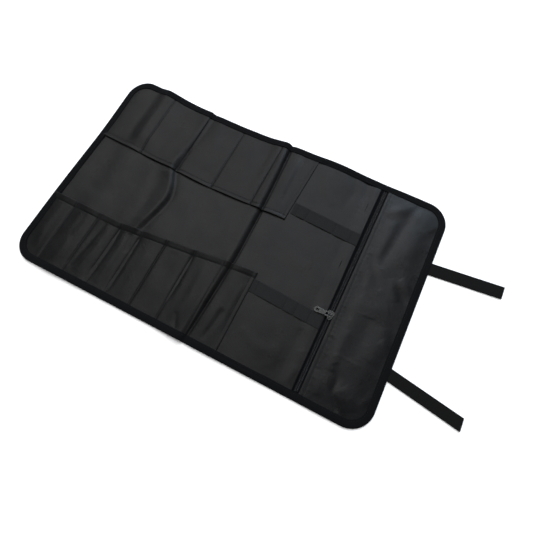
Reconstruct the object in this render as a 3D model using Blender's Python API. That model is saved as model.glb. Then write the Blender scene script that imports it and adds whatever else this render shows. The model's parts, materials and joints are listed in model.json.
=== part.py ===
"""Brush roll case, laid open and flat.

A bound cloth mat carries two rows of brush pockets, two elastic loop bands and a zipped end pocket,
and two doubled elastic closure loops leave its right edge. The mat is ten stiff sections joined by
nine fold lines, so that it rolls up from its free left end.

Metres, +Z up. +X runs from the free end to the closure loops and +Y from the near to the far edge.
The origin is on the ground under the middle of the whole object, closure loops included.
Positions below are measured from the mat's near left corner, which carries the empty "mat_corner".
"""

from math import cos, pi, radians, sin

import bmesh
import bpy
from mathutils import Vector

MM = 0.001

# The mat
MAT_LENGTH = 560 * MM
MAT_WIDTH = 350 * MM
CORNER_RADIUS = 34 * MM
PANEL_THICKNESS = 1.6 * MM
RIM_THICKNESS = 0.8 * MM
GAP = 0.3 * MM

# Fold lines, all parallel to Y, just above the top of the layers
SECTION_LENGTHS = [
    39.5 * MM,
    37.9 * MM,
    46.6 * MM,
    47.9 * MM,
    52.5 * MM,
    57.3 * MM,
    65.7 * MM,
    65.7 * MM,
    69.3 * MM,
]
FOLD_CLEARANCE = 0.2 * MM

# Edge binding: a tape folded over the rim
BINDING_WIDTH = 11 * MM
BINDING_WALL = 0.6 * MM
BINDING_LEAF = 0.5 * MM
BINDING_HEIGHT = 4.0 * MM
FOLD_HEIGHT = BINDING_HEIGHT + 0.1 * MM

# Pocket cloth: one raised strip along each long edge, sewn down between the pockets
CLOTH_LOW = 2.6 * MM
CLOTH_TOP = 3.2 * MM
SEAM_LOW = PANEL_THICKNESS + GAP
SEAM_WIDTH = 1.2 * MM
FAR_POCKET_DEPTH = 125 * MM
FAR_POCKET_END = (346 * MM, 339 * MM)
FAR_SEAMS = [82 * MM, 150 * MM, 212 * MM, 280 * MM, 337 * MM]
NEAR_POCKET_DEPTH = (110 * MM, 123 * MM, 133 * MM)
NEAR_POCKET_TURNS = (121 * MM, 244 * MM)
NEAR_POCKET_END = (341 * MM, 341 * MM)
NEAR_SEAMS = [44 * MM, 88 * MM, 127 * MM, 160 * MM, 200 * MM, 245 * MM, 291 * MM, 338 * MM]

# Elastic loop bands
BAND_WIDTH = 20 * MM
BAND_LOW = 2.2 * MM
BAND_TOP = 3.1 * MM
BAND_START = 348 * MM
FAR_BAND_CENTRE = 247 * MM
FAR_BAND_SEAMS = [350 * MM, 366 * MM, 412 * MM, 438 * MM]
NEAR_BAND_CENTRE = 111 * MM
NEAR_BAND_SEAMS = [350 * MM, 395 * MM, 412 * MM, 433 * MM]

# Zip fastener
ZIP_CENTRE = 458.3 * MM
ZIP_OPENING = (452.5 * MM, 464 * MM)
TAPE_WIDTH = 16.5 * MM
TAPE_LOW = PANEL_THICKNESS + GAP
TAPE_TOP = 2.3 * MM
COIL_GAP = 1.2 * MM
COIL_WIDTH = 2.5 * MM
COIL_LOW = 2.6 * MM
COIL_TOP = 3.7 * MM
FACING_WIDTH = 11.5 * MM
TROUGH_DEPTH = 0.9 * MM
TROUGH_WIDTH = 12.8 * MM

# Zip slider, its link and its pull tab
SLIDER_Y = 123 * MM
SLIDER_LENGTH = 13 * MM
SLIDER_WIDTH = 9.4 * MM
SLIDER_BOTTOM = 1.0 * MM
SLIDER_TOP = 4.8 * MM
PLATE_TOP_LOW = 4.0 * MM
FLANGE_LOW = 2.9 * MM
FLANGE_THICKNESS = 0.7 * MM
WEB_THICKNESS = 0.6 * MM
BRIDGE_BAR = 0.8 * MM
BRIDGE_WIDTH = 1.2 * MM
BRIDGE_SPAN = 6.4 * MM
BRIDGE_LEG = 1.3 * MM
PIVOT_HEIGHT = 7.4 * MM
LINK_WIRE = 0.4 * MM
LINK_RADIUS = 1.3 * MM
LINK_STRAIGHT = 3.8 * MM
LINK_CENTRE = 1.8 * MM
TAB_TILT = radians(7)
TAB_THICKNESS = 1.1 * MM
TAB_NEAR_END = 2.8 * MM
TAB_LENGTH = 21.2 * MM
TAB_WIDTHS = (6.0 * MM, 8.0 * MM)

# Closure loops: elastic doubled back on itself
LOOP_THICKNESS = 2.6 * MM
LOOP_FOLD_HEIGHT = LOOP_THICKNESS + 0.1 * MM
LOOP_FOLD_X = MAT_LENGTH + 0.2 * MM
LOOP_TIP_FOLD = 83.5 * MM
LOOP_END_X = 664 * MM
LOOP_CORNER = 4 * MM
FAR_LOOP = {"root": 250 * MM, "end": 262 * MM, "width": 18.5 * MM}
NEAR_LOOP = {"root": 86 * MM, "end": 70 * MM, "width": 17.5 * MM}

ARC_STEPS = 7
OVERRUN = 5 * MM

# Colour, roughness and metallic value of each material
FINISHES = {
    "panel_cloth": ((0.032, 0.034, 0.038), 0.62, 0.0),
    "pocket_cloth": ((0.030, 0.032, 0.037), 0.55, 0.0),
    "binding_tape": ((0.009, 0.011, 0.013), 0.80, 0.0),
    "band_elastic": ((0.022, 0.023, 0.023), 0.85, 0.0),
    "loop_elastic": ((0.010, 0.011, 0.011), 0.88, 0.0),
    "zip_tape": ((0.013, 0.016, 0.022), 0.75, 0.0),
    "zip_coil": ((0.030, 0.033, 0.040), 0.40, 0.0),
    "zip_metal": ((0.200, 0.200, 0.210), 0.35, 1.0),
}


# ---------------------------------------------------------------- scene set-up


def clear_scene():
    for obj in list(bpy.data.objects):
        bpy.data.objects.remove(obj, do_unlink=True)


def new_collection(name):
    collection = bpy.data.collections.new(name)
    bpy.context.scene.collection.children.link(collection)
    return collection


def make_materials():
    made = {}
    for name, (colour, roughness, metallic) in FINISHES.items():
        material = bpy.data.materials.new(name)
        material.use_nodes = True
        shader = material.node_tree.nodes["Principled BSDF"]
        shader.inputs["Base Color"].default_value = (*colour, 1.0)
        shader.inputs["Roughness"].default_value = roughness
        shader.inputs["Metallic"].default_value = metallic
        made[name] = material
    return made


clear_scene()
PARTS = new_collection("brush_roll_case")
CUTTERS = new_collection("cutters")
MATERIALS = make_materials()


# ---------------------------------------------------------------- the tree of empties


def new_empty(name, place, parent=None):
    """An empty at a place measured from the mat's near left corner."""
    empty = bpy.data.objects.new(name, None)
    PARTS.objects.link(empty)
    empty["place"] = list(place)
    empty.parent = parent
    origin = Vector(parent["place"]) if parent else Vector((0, 0, 0))
    empty.location = Vector(place) - origin
    return empty


def attach(obj, parent, place=(0, 0, 0)):
    """Hangs obj on an empty, with its own origin at a place measured from the mat's corner."""
    obj.parent = parent
    obj.location = Vector(place) - Vector(parent["place"])
    return obj


def fold_lines():
    lines = []
    x = 0.0
    for length in SECTION_LENGTHS:
        x += length
        lines.append(x)
    return lines


FOLDS = fold_lines()
LAST = len(FOLDS) + 1


def section_span(number):
    """The stretch of X that section `number` fills, counting from 1 at the free end."""
    low = 0.0 if number == 1 else FOLDS[number - 2] + FOLD_CLEARANCE
    high = MAT_LENGTH if number == LAST else FOLDS[number - 1] - FOLD_CLEARANCE
    return low, high


def section_at(x):
    return 1 + sum(1 for line in FOLDS if line < x)


def make_sections():
    """One empty for each section on its own fold line, chained from the fixed right end."""
    corner = new_empty("mat_corner", (0, 0, 0))
    corner.location = (-LOOP_END_X / 2, -MAT_WIDTH / 2, 0)
    sections = {LAST: new_empty(f"section_{LAST}", (0, 0, 0), corner)}
    for number in range(LAST - 1, 0, -1):
        place = (FOLDS[number - 1], MAT_WIDTH / 2, FOLD_HEIGHT)
        sections[number] = new_empty(f"section_{number}", place, sections[number + 1])
    return sections


SECTIONS = make_sections()


# ---------------------------------------------------------------- outlines


def arc(centre, radius, start, end, steps=ARC_STEPS):
    points = []
    for step in range(steps + 1):
        angle = start + (end - start) * step / steps
        points.append((centre[0] + radius * cos(angle), centre[1] + radius * sin(angle)))
    return points


def rounded_box(low, high, radius):
    """A rectangle between two corners, with round corners, counter-clockwise."""
    points = []
    corners = [(high[0], low[1]), (high[0], high[1]), (low[0], high[1]), (low[0], low[1])]
    for quarter, corner in enumerate(corners):
        centre = (
            corner[0] - radius if corner[0] == high[0] else corner[0] + radius,
            corner[1] - radius if corner[1] == high[1] else corner[1] + radius,
        )
        start = (quarter - 1) * pi / 2
        points += arc(centre, radius, start, start + pi / 2)
    return points


def mat_outline(inset):
    low = (inset, inset)
    high = (MAT_LENGTH - inset, MAT_WIDTH - inset)
    return rounded_box(low, high, CORNER_RADIUS - inset)


def keep_side(points, axis, limit, keep_above):
    """The part of a convex outline on one side of a line across X (axis 0) or Y (axis 1)."""
    sign = 1 if keep_above else -1
    kept = []
    for here, after in zip(points, points[1:] + points[:1]):
        d_here = sign * (here[axis] - limit)
        d_after = sign * (after[axis] - limit)
        if d_here >= 0:
            kept.append(here)
        if d_here * d_after < 0:
            t = d_here / (d_here - d_after)
            kept.append(tuple(a + t * (b - a) for a, b in zip(here, after)))
    return kept


def clipped(points, low, high):
    """The stretch of a convex outline between two values of X."""
    return keep_side(keep_side(points, 0, low, True), 0, high, False)


def comb(low, high, bottom, top, seams, seam_bottom):
    """A thin section in X and Z with a tooth reaching down at each seam."""
    points = [(low, bottom)]
    for seam in seams:
        left = seam - SEAM_WIDTH / 2
        right = seam + SEAM_WIDTH / 2
        if left > low and right < high:
            points += [(left, bottom), (left, seam_bottom), (right, seam_bottom), (right, bottom)]
    return points + [(high, bottom), (high, top), (low, top)]


# ---------------------------------------------------------------- solids

UPRIGHT = {
    "plan": (0, 0, 0),
    "along_y": (pi / 2, 0, 0),
    "along_x": (pi / 2, 0, pi / 2),
}


def solid(name, outlines, depth, lie="plan", collection=None):
    """A flat outline, with holes if more are given, extruded by depth about its own plane.

    lie says how it stands: "plan" has its outline in X and Y, "along_y" in X and Z and
    "along_x" in Y and Z.
    """
    curve = bpy.data.curves.new(name, "CURVE")
    curve.dimensions = "2D"
    curve.fill_mode = "BOTH"
    curve.extrude = depth / 2
    for points in outlines:
        spline = curve.splines.new("POLY")
        spline.points.add(len(points) - 1)
        for target, (u, v) in zip(spline.points, points):
            target.co = (u, v, 0, 1)
        spline.use_cyclic_u = True
    guide = bpy.data.objects.new(name + "_guide", curve)
    bpy.context.scene.collection.objects.link(guide)
    evaluated = guide.evaluated_get(bpy.context.evaluated_depsgraph_get())
    mesh = bpy.data.meshes.new_from_object(evaluated)
    weld(mesh)
    bpy.data.objects.remove(guide, do_unlink=True)
    obj = bpy.data.objects.new(name, mesh)
    obj.rotation_euler = UPRIGHT[lie]
    (collection or PARTS).objects.link(obj)
    return obj


def weld(mesh):
    shape = bmesh.new()
    shape.from_mesh(mesh)
    bmesh.ops.remove_doubles(shape, verts=shape.verts, dist=1e-6)
    bmesh.ops.recalc_face_normals(shape, faces=shape.faces)
    shape.to_mesh(mesh)
    shape.free()


def slab(name, outlines, low, high, collection=None):
    """A plan outline between two heights, with its origin at the mat's corner."""
    obj = solid(name, outlines, high - low, "plan", collection)
    return obj, (0, 0, (low + high) / 2)


def cutter(name, outlines, low, high):
    obj, place = slab(name, outlines, low, high, CUTTERS)
    obj.hide_render = True
    obj.display_type = "WIRE"
    return attach(obj, SECTIONS[LAST], place)


def boolean(obj, tool, operation):
    modifier = obj.modifiers.new(tool.name, "BOOLEAN")
    modifier.operation = operation
    modifier.solver = "EXACT"
    modifier.object = tool
    return obj


def paint(obj, name):
    obj.data.materials.clear()
    obj.data.materials.append(MATERIALS[name])
    return obj


# ---------------------------------------------------------------- shared cutters


def make_rim_cutter():
    """A frame that thins the panel's rim from below, so that the binding lies flush under it."""
    outside = mat_outline(-OVERRUN)
    inside = mat_outline(BINDING_WIDTH + GAP)
    return cutter("rim_cutter", [outside, inside], -OVERRUN, PANEL_THICKNESS - RIM_THICKNESS)


def make_binding_slot():
    """The space inside the folded tape, open towards the mat."""
    low = BINDING_LEAF
    high = BINDING_HEIGHT - BINDING_LEAF
    return cutter("binding_slot", [mat_outline(BINDING_WALL)], low, high)


def make_binding_window():
    return cutter("binding_window", [mat_outline(BINDING_WIDTH)], -OVERRUN, BINDING_HEIGHT + OVERRUN)


RIM_INSET = BINDING_WALL + GAP


def make_far_pocket_plan():
    """Everything that the far strip covers, with its slanted right end."""
    free_edge = MAT_WIDTH - FAR_POCKET_DEPTH
    rim = MAT_WIDTH - RIM_INSET
    centre = (CORNER_RADIUS, MAT_WIDTH - CORNER_RADIUS)
    corner = arc(centre, CORNER_RADIUS - RIM_INSET, pi / 2, pi)
    ends = [(RIM_INSET, free_edge), (FAR_POCKET_END[1], free_edge), (FAR_POCKET_END[0], rim)]
    return cutter("far_pocket_plan", [ends + corner], 0, OVERRUN)


def make_near_pocket_plan():
    """Everything that the near strip covers. Its free edge climbs towards the right."""
    centre = (CORNER_RADIUS, CORNER_RADIUS)
    corner = arc(centre, CORNER_RADIUS - RIM_INSET, pi, 1.5 * pi)
    ends = [
        (NEAR_POCKET_END[0], RIM_INSET),
        (NEAR_POCKET_END[1], NEAR_POCKET_DEPTH[2]),
        (NEAR_POCKET_TURNS[1], NEAR_POCKET_DEPTH[1]),
        (NEAR_POCKET_TURNS[0], NEAR_POCKET_DEPTH[0]),
        (RIM_INSET, NEAR_POCKET_DEPTH[0]),
    ]
    return cutter("near_pocket_plan", [corner + ends], 0, OVERRUN)


RIM_CUTTER = make_rim_cutter()
BINDING_SLOT = make_binding_slot()
BINDING_WINDOW = make_binding_window()
RIM_PLAN = cutter("rim_plan", [mat_outline(RIM_INSET)], 0, OVERRUN)
FAR_POCKET_PLAN = make_far_pocket_plan()
NEAR_POCKET_PLAN = make_near_pocket_plan()


# ---------------------------------------------------------------- mat


def make_panels():
    """The mat itself: outer cloth, stiffener and lining sewn together, one piece for each section."""
    for number in range(1, LAST + 1):
        outline = clipped(mat_outline(RIM_INSET), *section_span(number))
        panel, place = slab(f"back_panel_{number}", [outline], 0, PANEL_THICKNESS)
        attach(paint(panel, "panel_cloth"), SECTIONS[number], place)
        boolean(panel, RIM_CUTTER, "DIFFERENCE")
        if number == section_at(ZIP_CENTRE):
            boolean(panel, make_zip_trough(), "DIFFERENCE")


def make_zip_trough():
    """The hollow under the zip, in which the slider's lower plate runs."""
    low = (ZIP_CENTRE - TROUGH_WIDTH / 2, BINDING_WIDTH + GAP)
    high = (ZIP_CENTRE + TROUGH_WIDTH / 2, MAT_WIDTH - BINDING_WIDTH - GAP)
    outline = rounded_box(low, high, 2 * MM)
    return cutter("zip_trough", [outline], PANEL_THICKNESS - TROUGH_DEPTH, OVERRUN)


def make_binding_piece(name, number, outline):
    piece, place = slab(name, [outline], 0, BINDING_HEIGHT)
    attach(paint(piece, "binding_tape"), SECTIONS[number], place)
    boolean(piece, BINDING_SLOT, "DIFFERENCE")
    boolean(piece, BINDING_WINDOW, "DIFFERENCE")


def make_binding():
    """Tape folded over the rim: two straight runs on each section, and a bent run round each end."""
    for number in range(1, LAST + 1):
        span = section_span(number)
        whole = clipped(mat_outline(0), *span)
        if number in (1, LAST):
            side = "left" if number == 1 else "right"
            make_binding_piece(f"binding_{side}_end", number, whole)
            continue
        reach = BINDING_WIDTH + OVERRUN
        near = keep_side(whole, 1, reach, False)
        far = keep_side(whole, 1, MAT_WIDTH - reach, True)
        make_binding_piece(f"binding_near_{number}", number, near)
        make_binding_piece(f"binding_far_{number}", number, far)


def along_y(name, outline, low, high, number):
    """An outline in X and Z, extruded between two values of Y and hung on a section."""
    obj = solid(name, [outline], high - low, "along_y")
    return attach(obj, SECTIONS[number], (0, (low + high) / 2, 0))


def make_pocket_strip(side, seams, end, plan, low, high):
    """Pocket cloth raised off the mat between its seams, one piece for each section that it crosses."""
    for number in range(1, section_at(end) + 1):
        left, right = section_span(number)
        left -= OVERRUN * (number == 1)
        profile = comb(left, right, CLOTH_LOW, CLOTH_TOP, seams, SEAM_LOW)
        strip = along_y(f"{side}_pocket_strip_{number}", profile, low, high, number)
        boolean(paint(strip, "pocket_cloth"), plan, "INTERSECT")


def make_pockets():
    far_low = MAT_WIDTH - FAR_POCKET_DEPTH - OVERRUN
    make_pocket_strip("far", FAR_SEAMS, FAR_POCKET_END[1], FAR_POCKET_PLAN, far_low, MAT_WIDTH)
    near_high = NEAR_POCKET_DEPTH[2] + OVERRUN
    make_pocket_strip("near", NEAR_SEAMS, NEAR_POCKET_END[1], NEAR_POCKET_PLAN, 0, near_high)


def make_loop_band(side, centre, seams):
    """A flat elastic band sewn across at each seam, from the pocket strip's end to the zip."""
    end = ZIP_CENTRE - COIL_GAP / 2 - TAPE_WIDTH - GAP
    for number in range(section_at(BAND_START), section_at(end) + 1):
        left, right = section_span(number)
        profile = comb(max(left, BAND_START), min(right, end), BAND_LOW, BAND_TOP, seams, SEAM_LOW)
        low = centre - BAND_WIDTH / 2
        band = along_y(f"{side}_elastic_band_{number}", profile, low, low + BAND_WIDTH, number)
        paint(band, "band_elastic")


# ---------------------------------------------------------------- zipped end pocket

ZIP_SECTION = section_at(ZIP_CENTRE)


def bar_outline(low, high, bottom, top):
    return [(low, bottom), (high, bottom), (high, top), (low, top)]


def coil_outline(low, high):
    """One row of the coil: flat underneath, with a crowned top."""
    crown = arc(((low + high) / 2, COIL_TOP - COIL_WIDTH / 2), COIL_WIDTH / 2, pi / 6, pi * 5 / 6, 4)
    return [(low, COIL_LOW), (high, COIL_LOW)] + crown


def make_zip():
    """Two tapes with a row of coil each, and the folded facing that covers the left tape's edge."""
    rim = (RIM_INSET, MAT_WIDTH - RIM_INSET)
    coil_ends = (BINDING_WIDTH + MM, MAT_WIDTH - BINDING_WIDTH - MM)
    for side, sign in (("left", -1), ("right", 1)):
        inner = ZIP_CENTRE + sign * COIL_GAP / 2
        tape = sorted((inner, inner + sign * TAPE_WIDTH))
        piece = along_y(f"zip_tape_{side}", bar_outline(*tape, TAPE_LOW, TAPE_TOP), *rim, ZIP_SECTION)
        paint(piece, "zip_tape")
        row = sorted((inner, inner + sign * COIL_WIDTH))
        coil = along_y(f"zip_coil_{side}", coil_outline(*row), *coil_ends, ZIP_SECTION)
        paint(coil, "zip_coil")
    facing = bar_outline(ZIP_OPENING[0] - FACING_WIDTH, ZIP_OPENING[0], CLOTH_LOW, CLOTH_TOP)
    paint(along_y("zip_facing", facing, *rim, ZIP_SECTION), "panel_cloth")


def make_zip_pocket():
    """The front of the end pocket, from the zip to the right edge, crossing the last fold line."""
    for number in (ZIP_SECTION, LAST):
        left, right = section_span(number)
        left = max(left, ZIP_OPENING[1])
        right += OVERRUN * (number == LAST)
        outline = bar_outline(left, right, CLOTH_LOW, CLOTH_TOP)
        front = along_y(f"zip_pocket_front_{number}", outline, -OVERRUN, MAT_WIDTH + OVERRUN, number)
        boolean(paint(front, "pocket_cloth"), RIM_PLAN, "INTERSECT")


# ---------------------------------------------------------------- slider and pull


def slider_profile():
    """Right half of the slider's section in X and Z: lower plate, web, upper plate and side flange."""
    half = SLIDER_WIDTH / 2
    web = WEB_THICKNESS / 2
    return [
        (half, SLIDER_BOTTOM),
        (half, PANEL_THICKNESS),
        (web, PANEL_THICKNESS),
        (web, PLATE_TOP_LOW),
        (half - FLANGE_THICKNESS, PLATE_TOP_LOW),
        (half - FLANGE_THICKNESS, FLANGE_LOW),
        (half, FLANGE_LOW),
        (half, SLIDER_TOP),
    ]


def shield_outline():
    """The slider seen from above: broad shoulders at one end, narrowing to a round tail."""
    half = SLIDER_WIDTH / 2
    front = SLIDER_LENGTH / 2
    tail = SLIDER_WIDTH * 0.32
    shoulder = 2 * MM
    points = arc((half - shoulder, front - shoulder), shoulder, 0, pi / 2, 4)
    points += arc((shoulder - half, front - shoulder), shoulder, pi / 2, pi, 4)
    points += arc((0, tail - front), tail, pi, 2 * pi, 8)
    return [(ZIP_CENTRE + x, SLIDER_Y + y) for x, y in points]


def bridge_outline():
    """The arch on the slider's back in Y and Z, with the opening that holds the link."""
    outer = BRIDGE_SPAN / 2 + BRIDGE_LEG
    inner = BRIDGE_SPAN / 2
    foot = SLIDER_TOP - GAP
    top = PIVOT_HEIGHT + BRIDGE_BAR / 2
    under = PIVOT_HEIGHT - BRIDGE_BAR / 2
    round_top = BRIDGE_LEG
    points = [(-outer, foot), (-inner, foot)]
    points += [(-inner, under), (inner, under)]
    points += [(inner, foot), (outer, foot)]
    points += arc((outer - round_top, top - round_top), round_top, 0, pi / 2, 4)
    points += arc((round_top - outer, top - round_top), round_top, pi / 2, pi, 4)
    return [(SLIDER_Y + y, z) for y, z in points]


def make_slider():
    """The slider runs along Y. Its web passes between the two rows of coil."""
    carrier = new_empty("slider_carrier", (ZIP_CENTRE, SLIDER_Y, TAPE_TOP), SECTIONS[ZIP_SECTION])
    right = slider_profile()
    left = [(-x, z) for x, z in reversed(right)]
    profile = [(ZIP_CENTRE + x, z) for x, z in right + left]
    slider = solid("zip_slider", [profile], SLIDER_LENGTH + OVERRUN, "along_y")
    attach(paint(slider, "zip_metal"), carrier, (0, SLIDER_Y, 0))
    boolean(slider, cutter("slider_plan", [shield_outline()], 0, OVERRUN), "INTERSECT")
    bridge = solid("slider_bridge", [bridge_outline()], BRIDGE_WIDTH, "along_x", CUTTERS)
    bridge.hide_render = True
    bridge.display_type = "WIRE"
    attach(bridge, carrier, (ZIP_CENTRE, 0, 0))
    boolean(slider, bridge, "UNION")
    return carrier


def make_pull(carrier):
    """A wire link round the slider's bridge, and the flat pull tab that hangs on the link."""
    pivot = (ZIP_CENTRE, SLIDER_Y, PIVOT_HEIGHT)
    hinge = new_empty("pull_pivot", pivot, carrier)
    hinge.rotation_euler = (0, -TAB_TILT, 0)
    attach(make_link(), hinge, pivot)
    tab = solid("zip_pull_tab", tab_outlines(), TAB_THICKNESS)
    attach(paint(tab, "zip_metal"), hinge, pivot)


def make_link():
    """An oval of wire standing in X and Z, with the bridge's bar inside its right end."""
    half = LINK_STRAIGHT / 2
    points = arc((half, 0), LINK_RADIUS, -pi / 2, pi / 2, 6)
    points += arc((-half, 0), LINK_RADIUS, pi / 2, 1.5 * pi, 6)
    curve = bpy.data.curves.new("zip_pull_link", "CURVE")
    curve.dimensions = "3D"
    curve.bevel_depth = LINK_WIRE
    curve.bevel_resolution = 2
    spline = curve.splines.new("POLY")
    spline.points.add(len(points) - 1)
    for target, (x, z) in zip(spline.points, points):
        target.co = (x - LINK_CENTRE, 0, z, 1)
    spline.use_cyclic_u = True
    link = bpy.data.objects.new("zip_pull_link", curve)
    PARTS.objects.link(link)
    return paint(link, "zip_metal")


def tab_outlines():
    """The tab's outline, its square eye for the link and the round-ended slot in its outer end."""
    inner = -TAB_NEAR_END
    outer = inner - TAB_LENGTH
    narrow, wide = (width / 2 for width in TAB_WIDTHS)
    outline = [(inner, -narrow), (inner, narrow), (inner - 8 * MM, narrow)]
    outline += arc((outer + wide, 0), wide, radians(70), radians(290), 10)
    outline += [(inner - 8 * MM, -narrow)]
    eye = rounded_box((inner - 4.6 * MM, -1.8 * MM), (inner - 1.2 * MM, 1.8 * MM), 0.8 * MM)
    slot = rounded_box((outer + 2.2 * MM, -1.9 * MM), (outer + 7.2 * MM, 1.9 * MM), 1.8 * MM)
    return [outline, eye, slot]


# ---------------------------------------------------------------- closure loops


def loop_edges(loop, x):
    """The two sides of a closure loop at a value of X."""
    along = (x - MAT_LENGTH) / (LOOP_END_X - MAT_LENGTH)
    centre = loop["root"] + (loop["end"] - loop["root"]) * along
    return centre - loop["width"] / 2, centre + loop["width"] / 2


def loop_outline(loop, low, high, rounded):
    near_low, far_low = loop_edges(loop, low)
    near_high, far_high = loop_edges(loop, high)
    if not rounded:
        return [(low, near_low), (high, near_high), (high, far_high), (low, far_low)]
    r = LOOP_CORNER
    points = [(low, near_low)]
    points += arc((high - r, near_high + r), r, -pi / 2, 0, 4)
    points += arc((high - r, far_high - r), r, 0, pi / 2, 4)
    return points + [(low, far_low)]


def make_closure_loop(side, loop):
    """A doubled elastic in two lengths: one stands up beside the roll, and the tip folds over it."""
    tip_x = LOOP_FOLD_X + LOOP_TIP_FOLD
    pivot_y = loop["root"]
    rise = new_empty(f"{side}_loop_rise", (LOOP_FOLD_X, pivot_y, LOOP_FOLD_HEIGHT), SECTIONS[LAST])
    turn = new_empty(f"{side}_loop_turn", (tip_x, pivot_y, LOOP_FOLD_HEIGHT), rise)
    spans = {
        "side": (rise, LOOP_FOLD_X + GAP, tip_x - FOLD_CLEARANCE),
        "tip": (turn, tip_x + FOLD_CLEARANCE, LOOP_END_X),
    }
    for part, (empty, low, high) in spans.items():
        outline = loop_outline(loop, low, high, part == "tip")
        piece, place = slab(f"{side}_closure_loop_{part}", [outline], 0, LOOP_THICKNESS)
        attach(paint(piece, "loop_elastic"), empty, place)


make_panels()
make_binding()
make_pockets()
make_loop_band("far", FAR_BAND_CENTRE, FAR_BAND_SEAMS)
make_loop_band("near", NEAR_BAND_CENTRE, NEAR_BAND_SEAMS)
make_zip()
make_zip_pocket()
make_pull(make_slider())
make_closure_loop("far", FAR_LOOP)
make_closure_loop("near", NEAR_LOOP)
bpy.context.view_layer.update()
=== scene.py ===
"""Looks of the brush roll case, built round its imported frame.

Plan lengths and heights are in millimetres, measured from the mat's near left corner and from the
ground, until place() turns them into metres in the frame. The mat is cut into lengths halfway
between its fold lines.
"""

import json
from math import ceil, cos, pi, radians, sin

import bpy
import numpy as np
from mathutils import Matrix, Vector


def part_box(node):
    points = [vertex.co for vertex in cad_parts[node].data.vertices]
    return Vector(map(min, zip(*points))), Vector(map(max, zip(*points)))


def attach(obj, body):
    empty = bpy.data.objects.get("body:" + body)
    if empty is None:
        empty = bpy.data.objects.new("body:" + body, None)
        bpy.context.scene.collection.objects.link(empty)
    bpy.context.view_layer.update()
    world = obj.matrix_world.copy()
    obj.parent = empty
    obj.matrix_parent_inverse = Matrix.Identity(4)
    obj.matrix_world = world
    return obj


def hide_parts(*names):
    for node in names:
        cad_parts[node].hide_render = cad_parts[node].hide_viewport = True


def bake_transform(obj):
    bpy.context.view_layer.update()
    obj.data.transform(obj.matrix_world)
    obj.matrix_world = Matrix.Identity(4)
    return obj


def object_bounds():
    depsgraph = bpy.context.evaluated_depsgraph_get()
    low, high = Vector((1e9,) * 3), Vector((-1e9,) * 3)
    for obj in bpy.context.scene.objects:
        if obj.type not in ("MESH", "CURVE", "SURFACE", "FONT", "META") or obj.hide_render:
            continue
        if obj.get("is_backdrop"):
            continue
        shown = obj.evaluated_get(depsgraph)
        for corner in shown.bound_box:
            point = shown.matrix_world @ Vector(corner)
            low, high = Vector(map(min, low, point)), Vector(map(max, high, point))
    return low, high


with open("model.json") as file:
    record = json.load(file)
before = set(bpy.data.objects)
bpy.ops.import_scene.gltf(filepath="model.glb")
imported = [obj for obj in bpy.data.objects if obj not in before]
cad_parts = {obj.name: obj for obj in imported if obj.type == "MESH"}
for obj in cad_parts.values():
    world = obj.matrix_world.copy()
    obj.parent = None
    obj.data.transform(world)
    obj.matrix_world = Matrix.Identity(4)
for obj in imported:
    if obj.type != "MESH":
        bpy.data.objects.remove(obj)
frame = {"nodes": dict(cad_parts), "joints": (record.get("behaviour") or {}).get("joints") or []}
CAD_BOX = [list(corner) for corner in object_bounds()]

MM = 0.001

# ---------------- places read from the frame

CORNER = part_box("binding_left_end")[0]
RIGHT_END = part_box("binding_right_end")[1]
MAT_LENGTH = (RIGHT_END[0] - CORNER[0]) / MM
MAT_WIDTH = (RIGHT_END[1] - CORNER[1]) / MM


def plan_x(value):
    """A frame X in metres as millimetres along the mat."""
    return (value - CORNER[0]) / MM


def plan_y(value):
    return (value - CORNER[1]) / MM


def x_extent(node):
    """A node's low and high X in millimetres along the mat."""
    low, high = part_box(node)
    return plan_x(low[0]), plan_x(high[0])


def y_extent(node):
    low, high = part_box(node)
    return plan_y(low[1]), plan_y(high[1])


def top_of(node):
    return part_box(node)[1][2] / MM


def joint_x(name):
    found = [joint for joint in frame["joints"] if joint["name"] == name]
    return plan_x(found[0]["pos_m"][0])


FOLDS = [joint_x(f"fold_{number}") for number in range(1, 10)]
FACING_EDGE = x_extent("zip_facing")[1]
FRONT_EDGE = x_extent("zip_pocket_front_9")[0]
ZIP_CENTRE = (FACING_EDGE + FRONT_EDGE) / 2
# The mat is cut midway between fold lines, but the last cut is clear of the zip, on its left.
CUTS = [(a + b) / 2 for a, b in zip(FOLDS, FOLDS[1:])]
CUTS[-1] = FACING_EDGE - 6.0
SPANS = list(zip([0.0] + CUTS, CUTS + [MAT_LENGTH]))
# Half the width of the strip that bends at a fold line; the last one is beside the zip.
BEND = 10.0
LAST_BEND = 8.0

PANEL_TOP = top_of("back_panel_8")
BINDING_WIDTH = 11.0
CORNER_RADIUS = 34.0
# How far in from the mat's edge each cloth stops, inside the folded tape.
PANEL_INSET = 2.2
POCKET_INSET = 2.6
# Thickness of pocket cloth, and what its turned-under edge adds.
LAYER = 0.45
TURNED_UNDER = 0.35

# Where the pocket strips end and are sewn. FAR_END is the slanting end's X at its mouth and at the edge.
FAR_FREE_EDGE = y_extent("far_pocket_strip_4")[0]
FAR_END = (338.6, 345.4)
NEAR_END = x_extent("near_pocket_strip_7")[1]
FAR_SEAMS = [82.0, 150.0, 212.0, 280.0]
NEAR_SEAMS = [44.0, 88.0, 127.0, 160.0, 200.0, 245.0, 291.0]
NEAR_MOUTH_X = [0.0, 121.0, 244.0, 341.0]
NEAR_MOUTH_Y = [110.0, 110.0, 123.0, 133.0]
# Width of the turned-under right ends and of each strip's free edge.
HEM = 5.5
FAR_HEM = 6.8
NEAR_HEM = 9.0
SEAM_DEPTH = 0.85
# Distance of the zip pocket's line of stitches from its folded edge.
FRONT_SEAM = 4.6

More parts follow.
